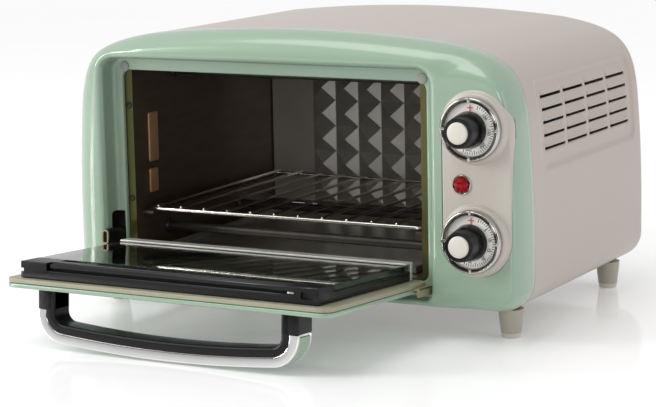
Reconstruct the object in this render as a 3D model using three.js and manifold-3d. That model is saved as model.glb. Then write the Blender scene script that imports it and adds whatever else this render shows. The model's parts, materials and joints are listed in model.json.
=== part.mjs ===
// Countertop toaster oven with a drop-down glass door, two dials, a wire rack and a crumb tray.
// Millimetres. +X is right seen from the front, +Y goes to the back, +Z is up from the table.
// While the pieces are drawn, y = 0 is the flat rim round the door opening, the body's middle is
// at BODY_X and the table at TABLE_Z. The door is drawn shut in its own group, then turned open.
import * as THREE from "three";
import { mergeVertices } from "three/addons/utils/BufferGeometryUtils.js";
import Module from "manifold-3d";

const wasm = await Module();
wasm.setup();

// ---- driving dimensions -------------------------------------------------------------------

const GAP = 0.3; // between pieces that touch
const SHEET = 1.4; // wall of the pressed steel pieces

// Body, seen from the front
const BODY_X = 3;
const TABLE_Z = 1.8;
const HALF_WIDTH = 176;
const TOP_Z = 205.2;
const CROWN = { x: 113.3, z: 199.4 };
const SHOULDER = { x: 173, z: 140.3 };
const WAIST = { x: 176, z: 66 };
const BOTTOM_Z = 21.8;
const BOTTOM_RADIUS = 19.4;

// Body, front to back
const BEZEL_FRONT_Y = -16;
const BEZEL_BACK_Y = 12;
const BEZEL_WALL = 3;
const BEZEL_ROUND = { wide: 17, deep: 20 };
const SHELL_BACK_Y = 214;
const SHELL_INSET = 0.4;
const REAR_PANEL_Y = 211;

// Door opening in the bezel
const OPENING = { x0: -135.4, x1: 106, z0: 37.3, z1: 172.8, r: 6 };
const RECESS = { x0: -143.1, x1: 114.8, z0: 28.5, z1: 182.3 };
const RIM_THICK = 3;

// Cavity
const CAVITY = { x0: -129.5, x1: 100.1, y1: 203, z0: 38.6, z1: 173.4 };
const FLANGE_Y = 3.6;
const RAIL_TOP_Z = 69;
const RAIL_WIDTH = 9;
const REFLECTOR = { x0: -91.5, z0: 49.4, cell: 20, columns: 8, rows: 6, rise: 4.5 };

// Door, in its own group: the origin is on the hinge line, +Z runs up the shut door
const HINGE = { x: -14.15, y: -6.5, z: 34.6 };
const OPEN_ANGLE = THREE.MathUtils.degToRad(86.2);
const DOOR_HALF_WIDTH = 123.5;
const DOOR_BOTTOM = -1;
const DOOR_TOP = 140.6;
const DOOR_RADIUS = 9;
const PANEL_OUT_Y = -1.1;
const PANEL_IN_Y = 2.1;
const LINER_IN_Y = 5.2;
const RIM_CLEAR_Y = 6.2; // pieces beside the opening stay outside the rim when shut
const OUTER_GLASS = { half: 106, z0: 15, z1: 113 };
const INNER_GLASS = { z0: 11, z1: 113.6, y0: 12.4, y1: 16.4 };
const FRAME = { half: 113.6, z0: 8, z1: 134.2, y1: 16.6, side: 10, block: 24 };
const CHANNEL = { z0: 4.6, z1: 16, wall: 1.2 };
const STRAP = { thick: 5.4, wide: 4, back: 5, front: 25 };
const STAY = { x0: -128.7, x1: -123.2, y0: 13.4, y1: 24.6, z0: -9, z1: 15.6 };
const STAY_SLOT = { x0: -146, x1: -136.8, z0: 37, z1: 70.5, r: 3 };
const PIN_RADIUS = 1.3;

// Handle, in the door's group: it stands out towards -Y
const HANDLE = { half: 99.3, z0: 116, z1: 134.5, out: 36.6, bow: 3.7, radius: 20 };
const TRIM_THICK = 6.7;
const GRIP_THICK = 12.8;
const LEG_BARE = 13;

// Controls
const DIAL_X = 148.9;
const THERMOSTAT_Z = 146.2;
const TIMER_Z = 72.2;
const FASCIA = { x: 149.7, z0: 47.5, z1: 170, half: 25, y0: -15.7, y1: -8 };
const BOSS = { y: -19.9, r: 23.8 };
const RING = { r: 21.2, inner: 17.6, y0: -25.9 };
const KNOB = { y0: -42.4, y1: -24.6, front: 9.9, back: 12.2 };
const SHAFT_RADIUS = 3;
const PILOT = { x: 139.3, z: 108.5, r: 5.6 };
const BRACKET_Y = 4;

// Rack, tray and heating elements
const RACK = { x0: -122.6, x1: 94.2, y0: 14, y1: 191, z: 71, wire: 1.5, cross: 1.1 };
const RACK_PITCH = 19.3;
const TRAY = { x0: -118, x1: 89, y0: 16, z0: 39.3, rim: 4.5, slotTop: 45.5 };
const ELEMENT_RADIUS = 3.3;
const ELEMENTS = [
  { name: "upper_front_element", y: 60, z: 166.4 },
  { name: "upper_rear_element", y: 145, z: 166.4 },
  { name: "lower_front_element", y: 46, z: 52.5 },
  { name: "lower_rear_element", y: 150, z: 52.5 },
];
const ELEMENT_BRACKETS = {
  left: CAVITY.x0 - SHEET - 2.2,
  right: CAVITY.x1 + SHEET + 0.8,
};

// Feet, bumpers and the cord's gland in the back
const FOOT = { x: 157, front: 15, back: 190, top: 8.6, tip: 6.5, band: 3.2 };
const BUMPER = { left: -132.8, right: 103.4, y: -0.2, z: 175.2, r: 3.6 };
const GLAND = { x: 148, z: 44, y1: 220, bore: 3.6 };

// ---- materials ----------------------------------------------------------------------------

function finish(colour, roughness, metalness = 0, opacity = 1) {
  return new THREE.MeshStandardMaterial({
    color: colour,
    roughness,
    metalness,
    opacity,
    transparent: opacity < 1,
  });
}

const MINT = finish(0xaccbb1, 0.3);
const CREAM = finish(0xc9bfb6, 0.42);
const BLACK_PLASTIC = finish(0x262527, 0.45);
const CHROME = finish(0xdcdcdc, 0.12, 1);
const CAVITY_STEEL = finish(0x4a4642, 0.4, 0.9);
const ZINC_STEEL = finish(0xb3b1a8, 0.4, 0.9);
const KHAKI_PAINT = finish(0x9a947c, 0.5);
const CLEAR_GLASS = finish(0x86a48e, 0.05, 0, 0.35);
const RED_LENS = finish(0xa3161b, 0.15);
const DIAL_WHITE = finish(0xe8e4da, 0.4);
const RUBBER = finish(0x77746d, 0.8);
const CERAMIC = finish(0xe7e2d4, 0.6);
const BRASS = finish(0xb08a4a, 0.35, 1);

// ---- solids -------------------------------------------------------------------------------

// A closed geometry as a solid that can be joined and cut.
function solid(geometry) {
  const bare = geometry.index ? geometry.toNonIndexed() : geometry.clone();
  bare.deleteAttribute("normal");
  bare.deleteAttribute("uv");
  const merged = mergeVertices(bare, 1e-4);
  const triVerts = new Uint32Array(merged.index.array);
  const vertProperties = merged.attributes.position.array;
  const made = new wasm.Manifold(new wasm.Mesh({ numProp: 3, vertProperties, triVerts }));
  if (made.volume() > 0) return made;
  return new wasm.Manifold(
    new wasm.Mesh({ numProp: 3, vertProperties, triVerts: triVerts.reverse() }),
  );
}

// A named mesh from a solid.
function piece(name, shape, material) {
  const cut = shape.getMesh();
  const geometry = new THREE.BufferGeometry();
  geometry.setAttribute("position", new THREE.BufferAttribute(cut.vertProperties, 3));
  geometry.setIndex(new THREE.BufferAttribute(cut.triVerts, 1));
  geometry.computeVertexNormals();
  const mesh = new THREE.Mesh(geometry, material);
  mesh.name = name;
  return mesh;
}

function union(solids) {
  return solids.reduce((whole, next) => whole.add(next));
}

function box(x0, x1, y0, y1, z0, z1) {
  const geometry = new THREE.BoxGeometry(x1 - x0, y1 - y0, z1 - z0);
  geometry.translate((x0 + x1) / 2, (y0 + y1) / 2, (z0 + z1) / 2);
  return solid(geometry);
}

// A rectangle with round corners, whose lower two may have their own radius.
function roundedRect(x0, z0, x1, z1, r, low = r) {
  const shape = new THREE.Shape();
  shape.moveTo(x0 + low, z0);
  shape.lineTo(x1 - low, z0);
  shape.absarc(x1 - low, z0 + low, low, -Math.PI / 2, 0);
  shape.lineTo(x1, z1 - r);
  shape.absarc(x1 - r, z1 - r, r, 0, Math.PI / 2);
  shape.lineTo(x0 + r, z1);
  shape.absarc(x0 + r, z1 - r, r, Math.PI / 2, Math.PI);
  shape.lineTo(x0, z0 + low);
  shape.absarc(x0 + low, z0 + low, low, Math.PI, Math.PI * 1.5);
  return shape;
}

// An outline in (x, z), made thick from yFront to yBack, with rounded rims where round is set.
function upright(shape, yFront, yBack, segments = 3, round = 0) {
  const geometry = new THREE.ExtrudeGeometry(shape, {
    depth: yBack - yFront - 2 * round,
    curveSegments: segments,
    bevelEnabled: round > 0,
    bevelThickness: round,
    bevelSize: round,
    bevelOffset: -round,
    bevelSegments: 1,
  });
  geometry.rotateX(Math.PI / 2);
  geometry.translate(0, yBack - round, 0);
  return solid(geometry);
}

// An outline in (x, y), made thick from z0 to z1.
function level(shape, z0, z1, segments = 3) {
  const geometry = new THREE.ExtrudeGeometry(shape, {
    depth: z1 - z0,
    curveSegments: segments,
    bevelEnabled: false,
  });
  geometry.translate(0, 0, z0);
  return solid(geometry);
}

// An outline in (y, z), made thick from x0 to x1.
function sideways(shape, x0, x1, segments = 4) {
  const geometry = new THREE.ExtrudeGeometry(shape, {
    depth: x1 - x0,
    curveSegments: segments,
    bevelEnabled: false,
  });
  const turn = new THREE.Matrix4().makeBasis(
    new THREE.Vector3(0, 1, 0),
    new THREE.Vector3(0, 0, 1),
    new THREE.Vector3(1, 0, 0),
  );
  geometry.applyMatrix4(turn);
  geometry.translate(x0, 0, 0);
  return solid(geometry);
}

// A profile of [radius, distance along the axis] pairs, turned round the axis through at.
function turned(profile, axis, at, sides = 20) {
  const points = profile.map(([r, t]) => new THREE.Vector2(r, t));
  const geometry = new THREE.LatheGeometry(points, sides);
  if (axis === "x") geometry.rotateZ(-Math.PI / 2);
  if (axis === "z") geometry.rotateX(Math.PI / 2);
  geometry.translate(...at);
  return solid(geometry);
}

function rod(axis, r, from, to, at, sides = 16) {
  return turned([[0, from], [r, from], [r, to], [0, to]], axis, at, sides);
}

function ring(axis, inner, outer, from, to, at, sides = 20) {
  const profile = [[inner, from], [outer, from], [outer, to], [inner, to], [inner, from]];
  return turned(profile, axis, at, sides);
}

// ---- body ---------------------------------------------------------------------------------

// The body's outline seen from the front, pulled in by inset.
function bodyOutline(inset) {
  const v = (x, z) => new THREE.Vector2(x, z);
  const crown = new THREE.QuadraticBezierCurve(
    v(0, TOP_Z),
    v(CROWN.x / 2, TOP_Z),
    v(CROWN.x, CROWN.z),
  );
  const corner = new THREE.CubicBezierCurve(
    v(CROWN.x, CROWN.z),
    v(CROWN.x + 45.5, CROWN.z - 7.6),
    v(SHOULDER.x - 2.9, SHOULDER.z + 43.3),
    v(SHOULDER.x, SHOULDER.z),
  );
  const side = new THREE.QuadraticBezierCurve(
    v(SHOULDER.x, SHOULDER.z),
    v(WAIST.x, WAIST.z + 37.2),
    v(WAIST.x, WAIST.z),
  );
  const floorCorner = new THREE.EllipseCurve(
    HALF_WIDTH - BOTTOM_RADIUS,
    BOTTOM_Z + BOTTOM_RADIUS,
    BOTTOM_RADIUS,
    BOTTOM_RADIUS,
    0,
    -Math.PI / 2,
    true,
  );
  const half = [
    ...crown.getPoints(5),
    ...corner.getPoints(9).slice(1),
    ...side.getPoints(3).slice(1),
    ...floorCorner.getPoints(5),
  ];
  const mirrored = half.slice(1).reverse().map((p) => v(-p.x, p.y));
  const loop = [...half, ...mirrored];
  const pulled = loop.map((p, i) => {
    const before = loop[(i + loop.length - 1) % loop.length];
    const after = loop[(i + 1) % loop.length];
    const along = after.clone().sub(before).normalize();
    return v(BODY_X + p.x + along.y * inset, p.y - along.x * inset);
  });
  return new THREE.Shape(pulled);
}

// The outline of the recess round the door opening, pushed out by grow.
function recessOutline(grow, radius, low = radius) {
  const { x0, x1, z0, z1 } = RECESS;
  return roundedRect(x0 - grow, z0 - grow, x1 + grow, z1 + grow, radius, low);
}

function fasciaOutline(grow) {
  const { x, z0, z1, half } = FASCIA;
  const r = half + grow;
  return roundedRect(x - r, z0 - grow, x + r, z1 + grow, r);
}

// The body outline made thick, with its front edge rounded off.
function crownedBlock(inset, yFront, yBack, roundWide, roundDeep, segments) {
  const geometry = new THREE.ExtrudeGeometry(bodyOutline(inset), {
    depth: yBack - yFront,
    bevelEnabled: true,
    bevelThickness: roundDeep,
    bevelSize: roundWide,
    bevelOffset: -roundWide,
    bevelSegments: segments,
  });
  geometry.rotateX(Math.PI / 2);
  geometry.translate(0, yBack + roundDeep, 0);
  const behind = box(-200, 200, yBack, yBack + 60, 0, 230);
  return solid(geometry).subtract(behind);
}

function frontBezel() {
  const { wide, deep } = BEZEL_ROUND;
  const wall = BEZEL_WALL;
  const outer = crownedBlock(0, BEZEL_FRONT_Y, BEZEL_BACK_Y, wide, deep, 4);
  const hollow = crownedBlock(wall, BEZEL_FRONT_Y + wall, 40, wide - wall, deep - wall, 3);
  const recessWall = upright(recessOutline(wall, 13, 5), -40, 40, 3);
  const recess = upright(recessOutline(0, 10, 2), -40, 0, 3);
  const behindRim = upright(recessOutline(0, 10, 2), RIM_THICK, 40, 3);
  const through = roundedRect(OPENING.x0, OPENING.z0, OPENING.x1, OPENING.z1, OPENING.r);
  const { x0, x1, z0, z1, r } = STAY_SLOT;
  const staySlot = sideways(roundedRect(-6, z0, 12, z1, r), x0, x1, 2);
  const stayRelief = box(x0, x1, RIM_THICK + 0.2, 14, 24, z0 + 6);
  const strapSlot = box(109.4, 114.2, -1, 12, 31, 46);
  const pinHole = (x) => rod("x", PIN_RADIUS + 0.35, x - 4, x + 4, [0, HINGE.y, HINGE.z], 12);
  return outer
    .subtract(hollow.subtract(recessWall))
    .subtract(recess)
    .subtract(behindRim)
    .subtract(upright(through, -10, 20, 3))
    .subtract(upright(fasciaOutline(0.4), -40, 0, 6))
    .subtract(staySlot)
    .subtract(stayRelief)
    .subtract(strapSlot)
    .subtract(pinHole(RECESS.x0 - 1.5))
    .subtract(pinHole(RECESS.x1 + 1.5));
}

// Five rows of four louvre slots in one side wall.
function ventSlots(side) {
  const slots = [];
  for (let row = 0; row < 5; row += 1) {
    for (let column = 0; column < 4; column += 1) {
      const y = 37 + 39.2 * column;
      const z = 126.7 + 8.7 * row;
      const x = BODY_X + side * HALF_WIDTH;
      slots.push(box(x - 14, x + 14, y, y + 36.8, z - 1.4, z + 1.4));
    }
  }
  return union(slots);
}

function outerShell() {
  const y0 = BEZEL_BACK_Y + GAP;
  const outer = upright(bodyOutline(SHELL_INSET), y0, SHELL_BACK_Y);
  const inner = upright(bodyOutline(SHELL_INSET + SHEET), y0 - 5, SHELL_BACK_Y + 5);
  const underside = box(BODY_X - 147, BODY_X + 147, y0 - 5, SHELL_BACK_Y + 5, 0, 40);
  return outer
    .subtract(inner)
    .subtract(underside)
    .subtract(ventSlots(-1))
    .subtract(ventSlots(1));
}

function basePlate() {
  const z0 = BOTTOM_Z + SHELL_INSET + SHEET + GAP;
  const half = HALF_WIDTH - BOTTOM_RADIUS;
  const x = [BODY_X - half, BODY_X + half];
  const plate = box(...x, BEZEL_BACK_Y + 3, REAR_PANEL_Y - GAP, z0, z0 + SHEET);
  const slots = [];
  for (let i = 0; i < 6; i += 1) {
    const y = 50 + 14 * i;
    slots.push(box(118, 150, y, y + 4, z0 - 2, z0 + 4));
  }
  return plate.subtract(union(slots));
}

function rearPanel() {
  const y1 = REAR_PANEL_Y + SHEET;
  const plate = upright(bodyOutline(SHELL_INSET + SHEET + GAP), REAR_PANEL_Y, y1);
  const slots = [];
  for (const x of [-60, 0, 60]) {
    for (let row = 0; row < 4; row += 1) {
      const z = 128 + 10 * row;
      slots.push(box(x - 24, x + 24, REAR_PANEL_Y - 2, y1 + 2, z, z + 3.4));
    }
  }
  const trayRoom = [TRAY.z0 - 1, TRAY.slotTop + 1];
  const traySlot = box(TRAY.x0 - 1, TRAY.x1 + 1, REAR_PANEL_Y - 2, y1 + 2, ...trayRoom);
  const glandHole = rod("y", 8.4, REAR_PANEL_Y - 2, y1 + 2, [GLAND.x, 0, GLAND.z]);
  return plate.subtract(union(slots)).subtract(traySlot).subtract(glandHole);
}

// A tapered foot with a soft band round its tip.
function foot(name, x, y) {
  const profile = [
    [0, TABLE_Z],
    [FOOT.tip - 0.7, TABLE_Z],
    [FOOT.tip, TABLE_Z + 1],
    [FOOT.tip, TABLE_Z + FOOT.band],
    [FOOT.tip + 0.3, TABLE_Z + FOOT.band + GAP],
    [FOOT.top, BOTTOM_Z - 2],
    [FOOT.top, BOTTOM_Z - GAP],
    [0, BOTTOM_Z - GAP],
  ];
  return piece(name, turned(profile, "z", [x, y, 0], 18), CREAM);
}

function bumper(name, x) {
  const { y, z, r } = BUMPER;
  const profile = [[0, -0.9], [2, -0.7], [3.3, -0.3], [r, 0], [0, 0]];
  return piece(name, turned(profile, "y", [x, y, z], 16), RUBBER);
}

// ---- cavity -------------------------------------------------------------------------------

function cavityLiner() {
  const c = CAVITY;
  const t = SHEET;
  const outer = box(c.x0 - t, c.x1 + t, FLANGE_Y, c.y1 + t, c.z0 - t, c.z1 + t);
  const inner = box(c.x0, c.x1, FLANGE_Y - 5, c.y1, c.z0, c.z1);
  const flange = upright(recessOutline(-1.2, 8), FLANGE_Y, FLANGE_Y + SHEET);
  const stayRoom = box(-150, -135.6, 0, 20, 20, 75);
  const rail = (x0, x1) => box(x0, x1, FLANGE_Y + 8, c.y1 - 2, RAIL_TOP_Z - 1.6, RAIL_TOP_Z);
  const traySlot = box(TRAY.x0 - 1, TRAY.x1 + 1, c.y1 - 5, c.y1 + 5, c.z0 + 0.2, TRAY.slotTop);
  const elementHoles = ELEMENTS.flatMap(({ y, z }) => [
    rod("x", ELEMENT_RADIUS + 2.2, c.x0 - 6, c.x0 + 3, [0, y, z], 12),
    rod("x", ELEMENT_RADIUS + 2.2, c.x1 - 3, c.x1 + 6, [0, y, z], 12),
  ]);
  return outer
    .add(flange.subtract(stayRoom))
    .subtract(inner)
    .add(rail(c.x0 - 0.5, c.x0 + RAIL_WIDTH))
    .add(rail(c.x1 - RAIL_WIDTH, c.x1 + 0.5))
    .subtract(traySlot)
    .subtract(union(elementHoles));
}

// A sheet pressed into a grid of four-sided pyramids that point to the front.
function pyramidSheet(x0, z0, cell, columns, rows, yBack, yFront, rise) {
  const corners = [];
  const triangles = [];
  const add = (x, y, z) => corners.push(x, y, z) / 3 - 1;
  const grid = (y) =>
    Array.from({ length: columns + 1 }, (_, i) =>
      Array.from({ length: rows + 1 }, (_, j) => add(x0 + i * cell, y, z0 + j * cell)),
    );
  const front = grid(yFront);
  const back = grid(yBack);
  const wall = (a, b, c, d) => triangles.push(a, b, c, a, c, d);
  for (let i = 0; i < columns; i += 1) {
    for (let j = 0; j < rows; j += 1) {
      const tip = add(x0 + (i + 0.5) * cell, yFront - rise, z0 + (j + 0.5) * cell);
      const ring = [front[i][j], front[i + 1][j], front[i + 1][j + 1], front[i][j + 1]];
      ring.forEach((corner, k) => triangles.push(corner, ring[(k + 1) % 4], tip));
      wall(back[i][j], back[i][j + 1], back[i + 1][j + 1], back[i + 1][j]);
    }
  }
  for (let i = 0; i < columns; i += 1) {
    wall(back[i][0], back[i + 1][0], front[i + 1][0], front[i][0]);
    wall(front[i][rows], front[i + 1][rows], back[i + 1][rows], back[i][rows]);
  }
  for (let j = 0; j < rows; j += 1) {
    wall(front[0][j], front[0][j + 1], back[0][j + 1], back[0][j]);
    wall(back[columns][j], back[columns][j + 1], front[columns][j + 1], front[columns][j]);
  }
  const geometry = new THREE.BufferGeometry();
  geometry.setAttribute("position", new THREE.Float32BufferAttribute(corners, 3));
  geometry.setIndex(triangles);
  return solid(geometry);
}

// The back wall's reflector: a flat sheet with a pyramid-pressed field.
function backReflector() {
  const { x0, z0, cell, columns, rows, rise } = REFLECTOR;
  const back = CAVITY.y1 - GAP;
  const front = back - 1.2;
  const plate = box(CAVITY.x0 + 1, CAVITY.x1 - 1, front, back, z0 - 1, CAVITY.z1 - 1);
  const pressed = pyramidSheet(x0, z0, cell, columns, rows, back - 0.6, front - 0.3, rise);
  const above = box(-200, 200, 150, 230, CAVITY.z1 - 1, 260);
  return plate.add(pressed).subtract(above);
}

function heatingElement({ name, y, z }) {
  const x0 = ELEMENT_BRACKETS.left - 8;
  const x1 = ELEMENT_BRACKETS.right + 9;
  const collar = ELEMENT_RADIUS + 1.4;
  const profile = [
    [0, x0],
    [1.6, x0],
    [1.6, x0 + 5],
    [collar, x0 + 5],
    [collar, CAVITY.x0 + 2],
    [ELEMENT_RADIUS, CAVITY.x0 + 2],
    [ELEMENT_RADIUS, CAVITY.x1 - 2],
    [collar, CAVITY.x1 - 2],
    [collar, x1 - 5],
    [1.6, x1 - 5],
    [1.6, x1],
    [0, x1],
  ];
  return piece(name, turned(profile, "x", [0, y, z], 10), ZINC_STEEL);
}

// A steel strip outside a cavity wall, with a hole round each element's collar.
function elementBracket(name, x) {
  const plate = box(x, x + 1.2, 36, 162, 43, 174);
  const r = ELEMENT_RADIUS + 1.8;
  const holes = ELEMENTS.map(({ y, z }) => rod("x", r, x - 3, x + 4, [0, y, z], 12));
  return piece(name, plate.subtract(union(holes)), ZINC_STEEL);
}

// A screw head on the cavity's front flange, beside the opening's left edge.
function flangeScrew(name, z) {
  const y0 = FLANGE_Y - GAP;
  const profile = [[0, y0], [2.3, y0], [2.1, y0 - 0.8], [1.1, y0 - 1.3], [0, y0 - 1.3]];
  return piece(name, turned(profile, "y", [CAVITY.x0 - 3.2, 0, z], 12), ZINC_STEEL);
}

function hingePin(name, x0, x1) {
  return piece(name, rod("x", PIN_RADIUS, x0, x1, [0, HINGE.y, HINGE.z], 12), ZINC_STEEL);
}

// ---- controls -----------------------------------------------------------------------------

function controlFascia() {
  const plate = upright(fasciaOutline(0), FASCIA.y0, FASCIA.y1, 6);
  const boss = (z) =>
    turned(
      [
        [0, FASCIA.y1],
        [BOSS.r, FASCIA.y0 + 0.1],
        [BOSS.r - 1.8, BOSS.y + 0.8],
        [BOSS.r - 2.4, BOSS.y],
        [0, BOSS.y],
      ],
      "y",
      [DIAL_X, 0, z],
      24,
    );
  const hole = (z) => rod("y", SHAFT_RADIUS + 1, -30, 0, [DIAL_X, 0, z], 12);
  return plate
    .add(boss(THERMOSTAT_Z))
    .add(boss(TIMER_Z))
    .subtract(hole(THERMOSTAT_Z))
    .subtract(hole(TIMER_Z))
    .subtract(rod("y", PILOT.r + 1.3, -30, 0, [PILOT.x, 0, PILOT.z]));
}

function dialRing(name, z) {
  const profile = [
    [RING.inner, BOSS.y - GAP],
    [RING.r, BOSS.y - GAP],
    [RING.r, RING.y0 + 3.1],
    [RING.r - 1.2, RING.y0],
    [RING.r - 2.8, RING.y0],
    [RING.inner, RING.y0 + 1.9],
    [RING.inner, BOSS.y - GAP],
  ];
  return piece(name, turned(profile, "y", [DIAL_X, 0, z], 24), CHROME);
}

function dialPlate(name, z) {
  return piece(name, ring("y", 4, 17.2, BOSS.y - 1.7, BOSS.y - GAP, [DIAL_X, 0, z], 16), DIAL_WHITE);
}

// One dial's turning pieces: grip, cap, clear skirt with the pointer, and shaft.
function knob(prefix, z) {
  const at = [DIAL_X, 0, z];
  const gripProfile = [
    [0, KNOB.y1],
    [KNOB.back, KNOB.y1],
    [KNOB.back, KNOB.y1 - 2],
    [KNOB.front, KNOB.y0],
    [0, KNOB.y0],
  ];
  const grip = turned(gripProfile, "y", at, 24);
  const socket = rod("y", SHAFT_RADIUS + 0.35, KNOB.y1 - 12, KNOB.y1 + 2, at);
  const capProfile = [
    [0, KNOB.y0 - GAP],
    [7.1, KNOB.y0 - GAP],
    [7.1, KNOB.y0 - 0.9],
    [4.6, KNOB.y0 - 1.5],
    [0, KNOB.y0 - 1.8],
  ];
  return [
    piece(prefix + "_knob_grip", grip.subtract(socket), BLACK_PLASTIC),
    piece(prefix + "_knob_cap", turned(capProfile, "y", at, 24), DIAL_WHITE),
    piece(prefix + "_knob_skirt", ring("y", 4, 16.4, KNOB.y1 + 0.4, KNOB.y1 + 1.6, at, 16), CLEAR_GLASS),
    piece(prefix + "_shaft", rod("y", SHAFT_RADIUS, KNOB.y1 - 11.5, 9, at, 12), ZINC_STEEL),
  ];
}

function controlBracket() {
  const plate = box(DIAL_X - 27, DIAL_X + 14, BRACKET_Y, BRACKET_Y + SHEET, 46, 162);
  const hole = (z) => rod("y", SHAFT_RADIUS + 1, -5, 12, [DIAL_X, 0, z]);
  const lampHole = rod("y", 5, -5, 12, [PILOT.x, 0, PILOT.z]);
  return plate.subtract(hole(THERMOSTAT_Z)).subtract(hole(TIMER_Z)).subtract(lampHole);
}

function timerUnit() {
  const at = [DIAL_X, 0, TIMER_Z];
  const y0 = BRACKET_Y + SHEET + GAP;
  const profile = [
    [0, y0],
    [22, y0],
    [22, y0 + 24],
    [4, y0 + 24],
    [4, y0 + 27],
    [0, y0 + 27],
  ];
  const drum = turned(profile, "y", at, 20);
  const blades = box(DIAL_X - 6, DIAL_X + 6, y0 + 6, y0 + 20, TIMER_Z + 18, TIMER_Z + 28);
  const socket = rod("y", SHAFT_RADIUS + 0.4, y0 - 2, 11, at);
  return drum.add(blades).subtract(socket);
}

function timerBell() {
  const at = [DIAL_X, 0, TIMER_Z];
  const y0 = BRACKET_Y + SHEET + GAP + 27 + GAP;
  const profile = [
    [0, y0],
    [6, y0],
    [17, y0 + 3],
    [19, y0 + 10],
    [17.8, y0 + 10],
    [15.8, y0 + 4.2],
    [5.4, y0 + 1.2],
    [0, y0 + 1.2],
  ];
  return turned(profile, "y", at, 20);
}

function thermostatUnit() {
  const y0 = BRACKET_Y + SHEET + GAP;
  const body = box(DIAL_X - 17, DIAL_X + 17, y0, y0 + 18, THERMOSTAT_Z - 11, THERMOSTAT_Z + 11);
  const stack = box(DIAL_X - 5, DIAL_X + 5, y0 + 18, y0 + 34, THERMOSTAT_Z - 5, THERMOSTAT_Z + 7);
  const socket = rod("y", SHAFT_RADIUS + 0.4, y0 - 2, 11, [DIAL_X, 0, THERMOSTAT_Z]);
  return body.add(stack).subtract(socket);
}

function pilotPieces() {
  const at = [PILOT.x, 0, PILOT.z];
  const r = PILOT.r;
  const lens = [[0, -19.6], [3, -19.2], [r - 0.4, -17.8], [r, -16.6], [r, -8], [0, -8]];
  const rim = [
    [r + 0.3, -16.9],
    [r + 1.4, -16.9],
    [r + 1.8, FASCIA.y0 - GAP],
    [r + 1, FASCIA.y0 - GAP],
    [r + 1, -9],
    [r + 0.3, -9],
    [r + 0.3, -16.9],
  ];
  const lamp = [[0, -7.6], [2, -7], [3, -5], [3, 12], [0, 12]];
  return [
    piece("pilot_lens", turned(lens, "y", at, 20), RED_LENS),
    piece("pilot_rim", turned(rim, "y", at, 20), CHROME),
    piece("pilot_lamp", turned(lamp, "y", at, 12), CLEAR_GLASS),
  ];
}

// ---- rear and wiring ----------------------------------------------------------------------

function cordGland() {
  const y = REAR_PANEL_Y;
  const profile = [
    [GLAND.bore, y - 7],
    [9.4, y - 7],
    [9.4, y - GAP],
    [8, y - GAP],
    [8, y + SHEET + GAP],
    [11, y + SHEET + GAP],
    [11, y + 5],
    [6.5, GLAND.y1],
    [GLAND.bore, GLAND.y1],
    [GLAND.bore, y - 7],
  ];
  return turned(profile, "y", [GLAND.x, 0, GLAND.z], 20);
}

function terminalBlock() {
  const z0 = BOTTOM_Z + SHELL_INSET + 2 * SHEET + 2 * GAP;
  const block = box(124, 156, 158, 178, z0, z0 + 13);
  const wells = [130, 140, 150].map((x) => box(x - 3, x + 3, 156, 180, z0 + 8, z0 + 15));
  return block.subtract(union(wells));
}

// ---- rack and tray ------------------------------------------------------------------------

function wireRack() {
  const { x0, x1, y0, y1, z, wire, cross } = RACK;
  const wires = [
    rod("x", wire, x0 - wire, x1 + wire, [0, y0, z], 6),
    rod("x", wire, x0 - wire, x1 + wire, [0, y1, z], 6),
    rod("y", wire, y0, y1, [x0, 0, z], 6),
    rod("y", wire, y0, y1, [x1, 0, z], 6),
  ];
  for (let x = x0 + 5.6; x < x1 - 5; x += RACK_PITCH) {
    wires.push(rod("y", cross, y0 - wire, y1 + wire, [x, 0, z + wire + cross - 0.6], 6));
  }
  return union(wires);
}

function crumbTray() {
  const { x0, x1, y0, z0, rim } = TRAY;
  const lipBack = REAR_PANEL_Y + SHEET + 4;
  const pan = box(x0, x1, y0, lipBack, z0, z0 + rim);
  const well = box(x0 + 1.2, x1 - 1.2, y0 + 1.2, CAVITY.y1 - 8, z0 + 1, z0 + rim + 5);
  const step = box(x0 - 1, x1 + 1, CAVITY.y1 - 6, lipBack + 1, z0 + 1.2, z0 + rim + 5);
  const lip = box(x0 + 20, x1 - 20, lipBack - 1.6, lipBack, z0 - 1, z0 + 10);
  return pan.subtract(well).subtract(step).add(lip);
}

// ---- door ---------------------------------------------------------------------------------

function doorPanel() {
  const w = DOOR_HALF_WIDTH;
  const outline = roundedRect(-w, DOOR_BOTTOM, w, DOOR_TOP, DOOR_RADIUS);
  const window = roundedRect(-98, 22, 98, 108, 6);
  return upright(outline, PANEL_OUT_Y, PANEL_IN_Y, 5, 0.8).subtract(upright(window, -10, 10, 3));
}

function doorLiner() {
  const w = DOOR_HALF_WIDTH;
  const g = OUTER_GLASS;
  const outline = roundedRect(-w + 0.2, DOOR_BOTTOM + 0.2, w - 0.2, DOOR_TOP - 0.2, DOOR_RADIUS);
  const seat = box(-g.half - 0.4, g.half + 0.4, -10, 20, g.z0 - 0.4, g.z1 + 0.4);
  return upright(outline, PANEL_IN_Y + GAP, LINER_IN_Y, 5).subtract(seat);
}

function outerGlass() {
  const g = OUTER_GLASS;
  return box(-g.half, g.half, PANEL_IN_Y + GAP, LINER_IN_Y - 0.2, g.z0, g.z1);
}

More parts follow.
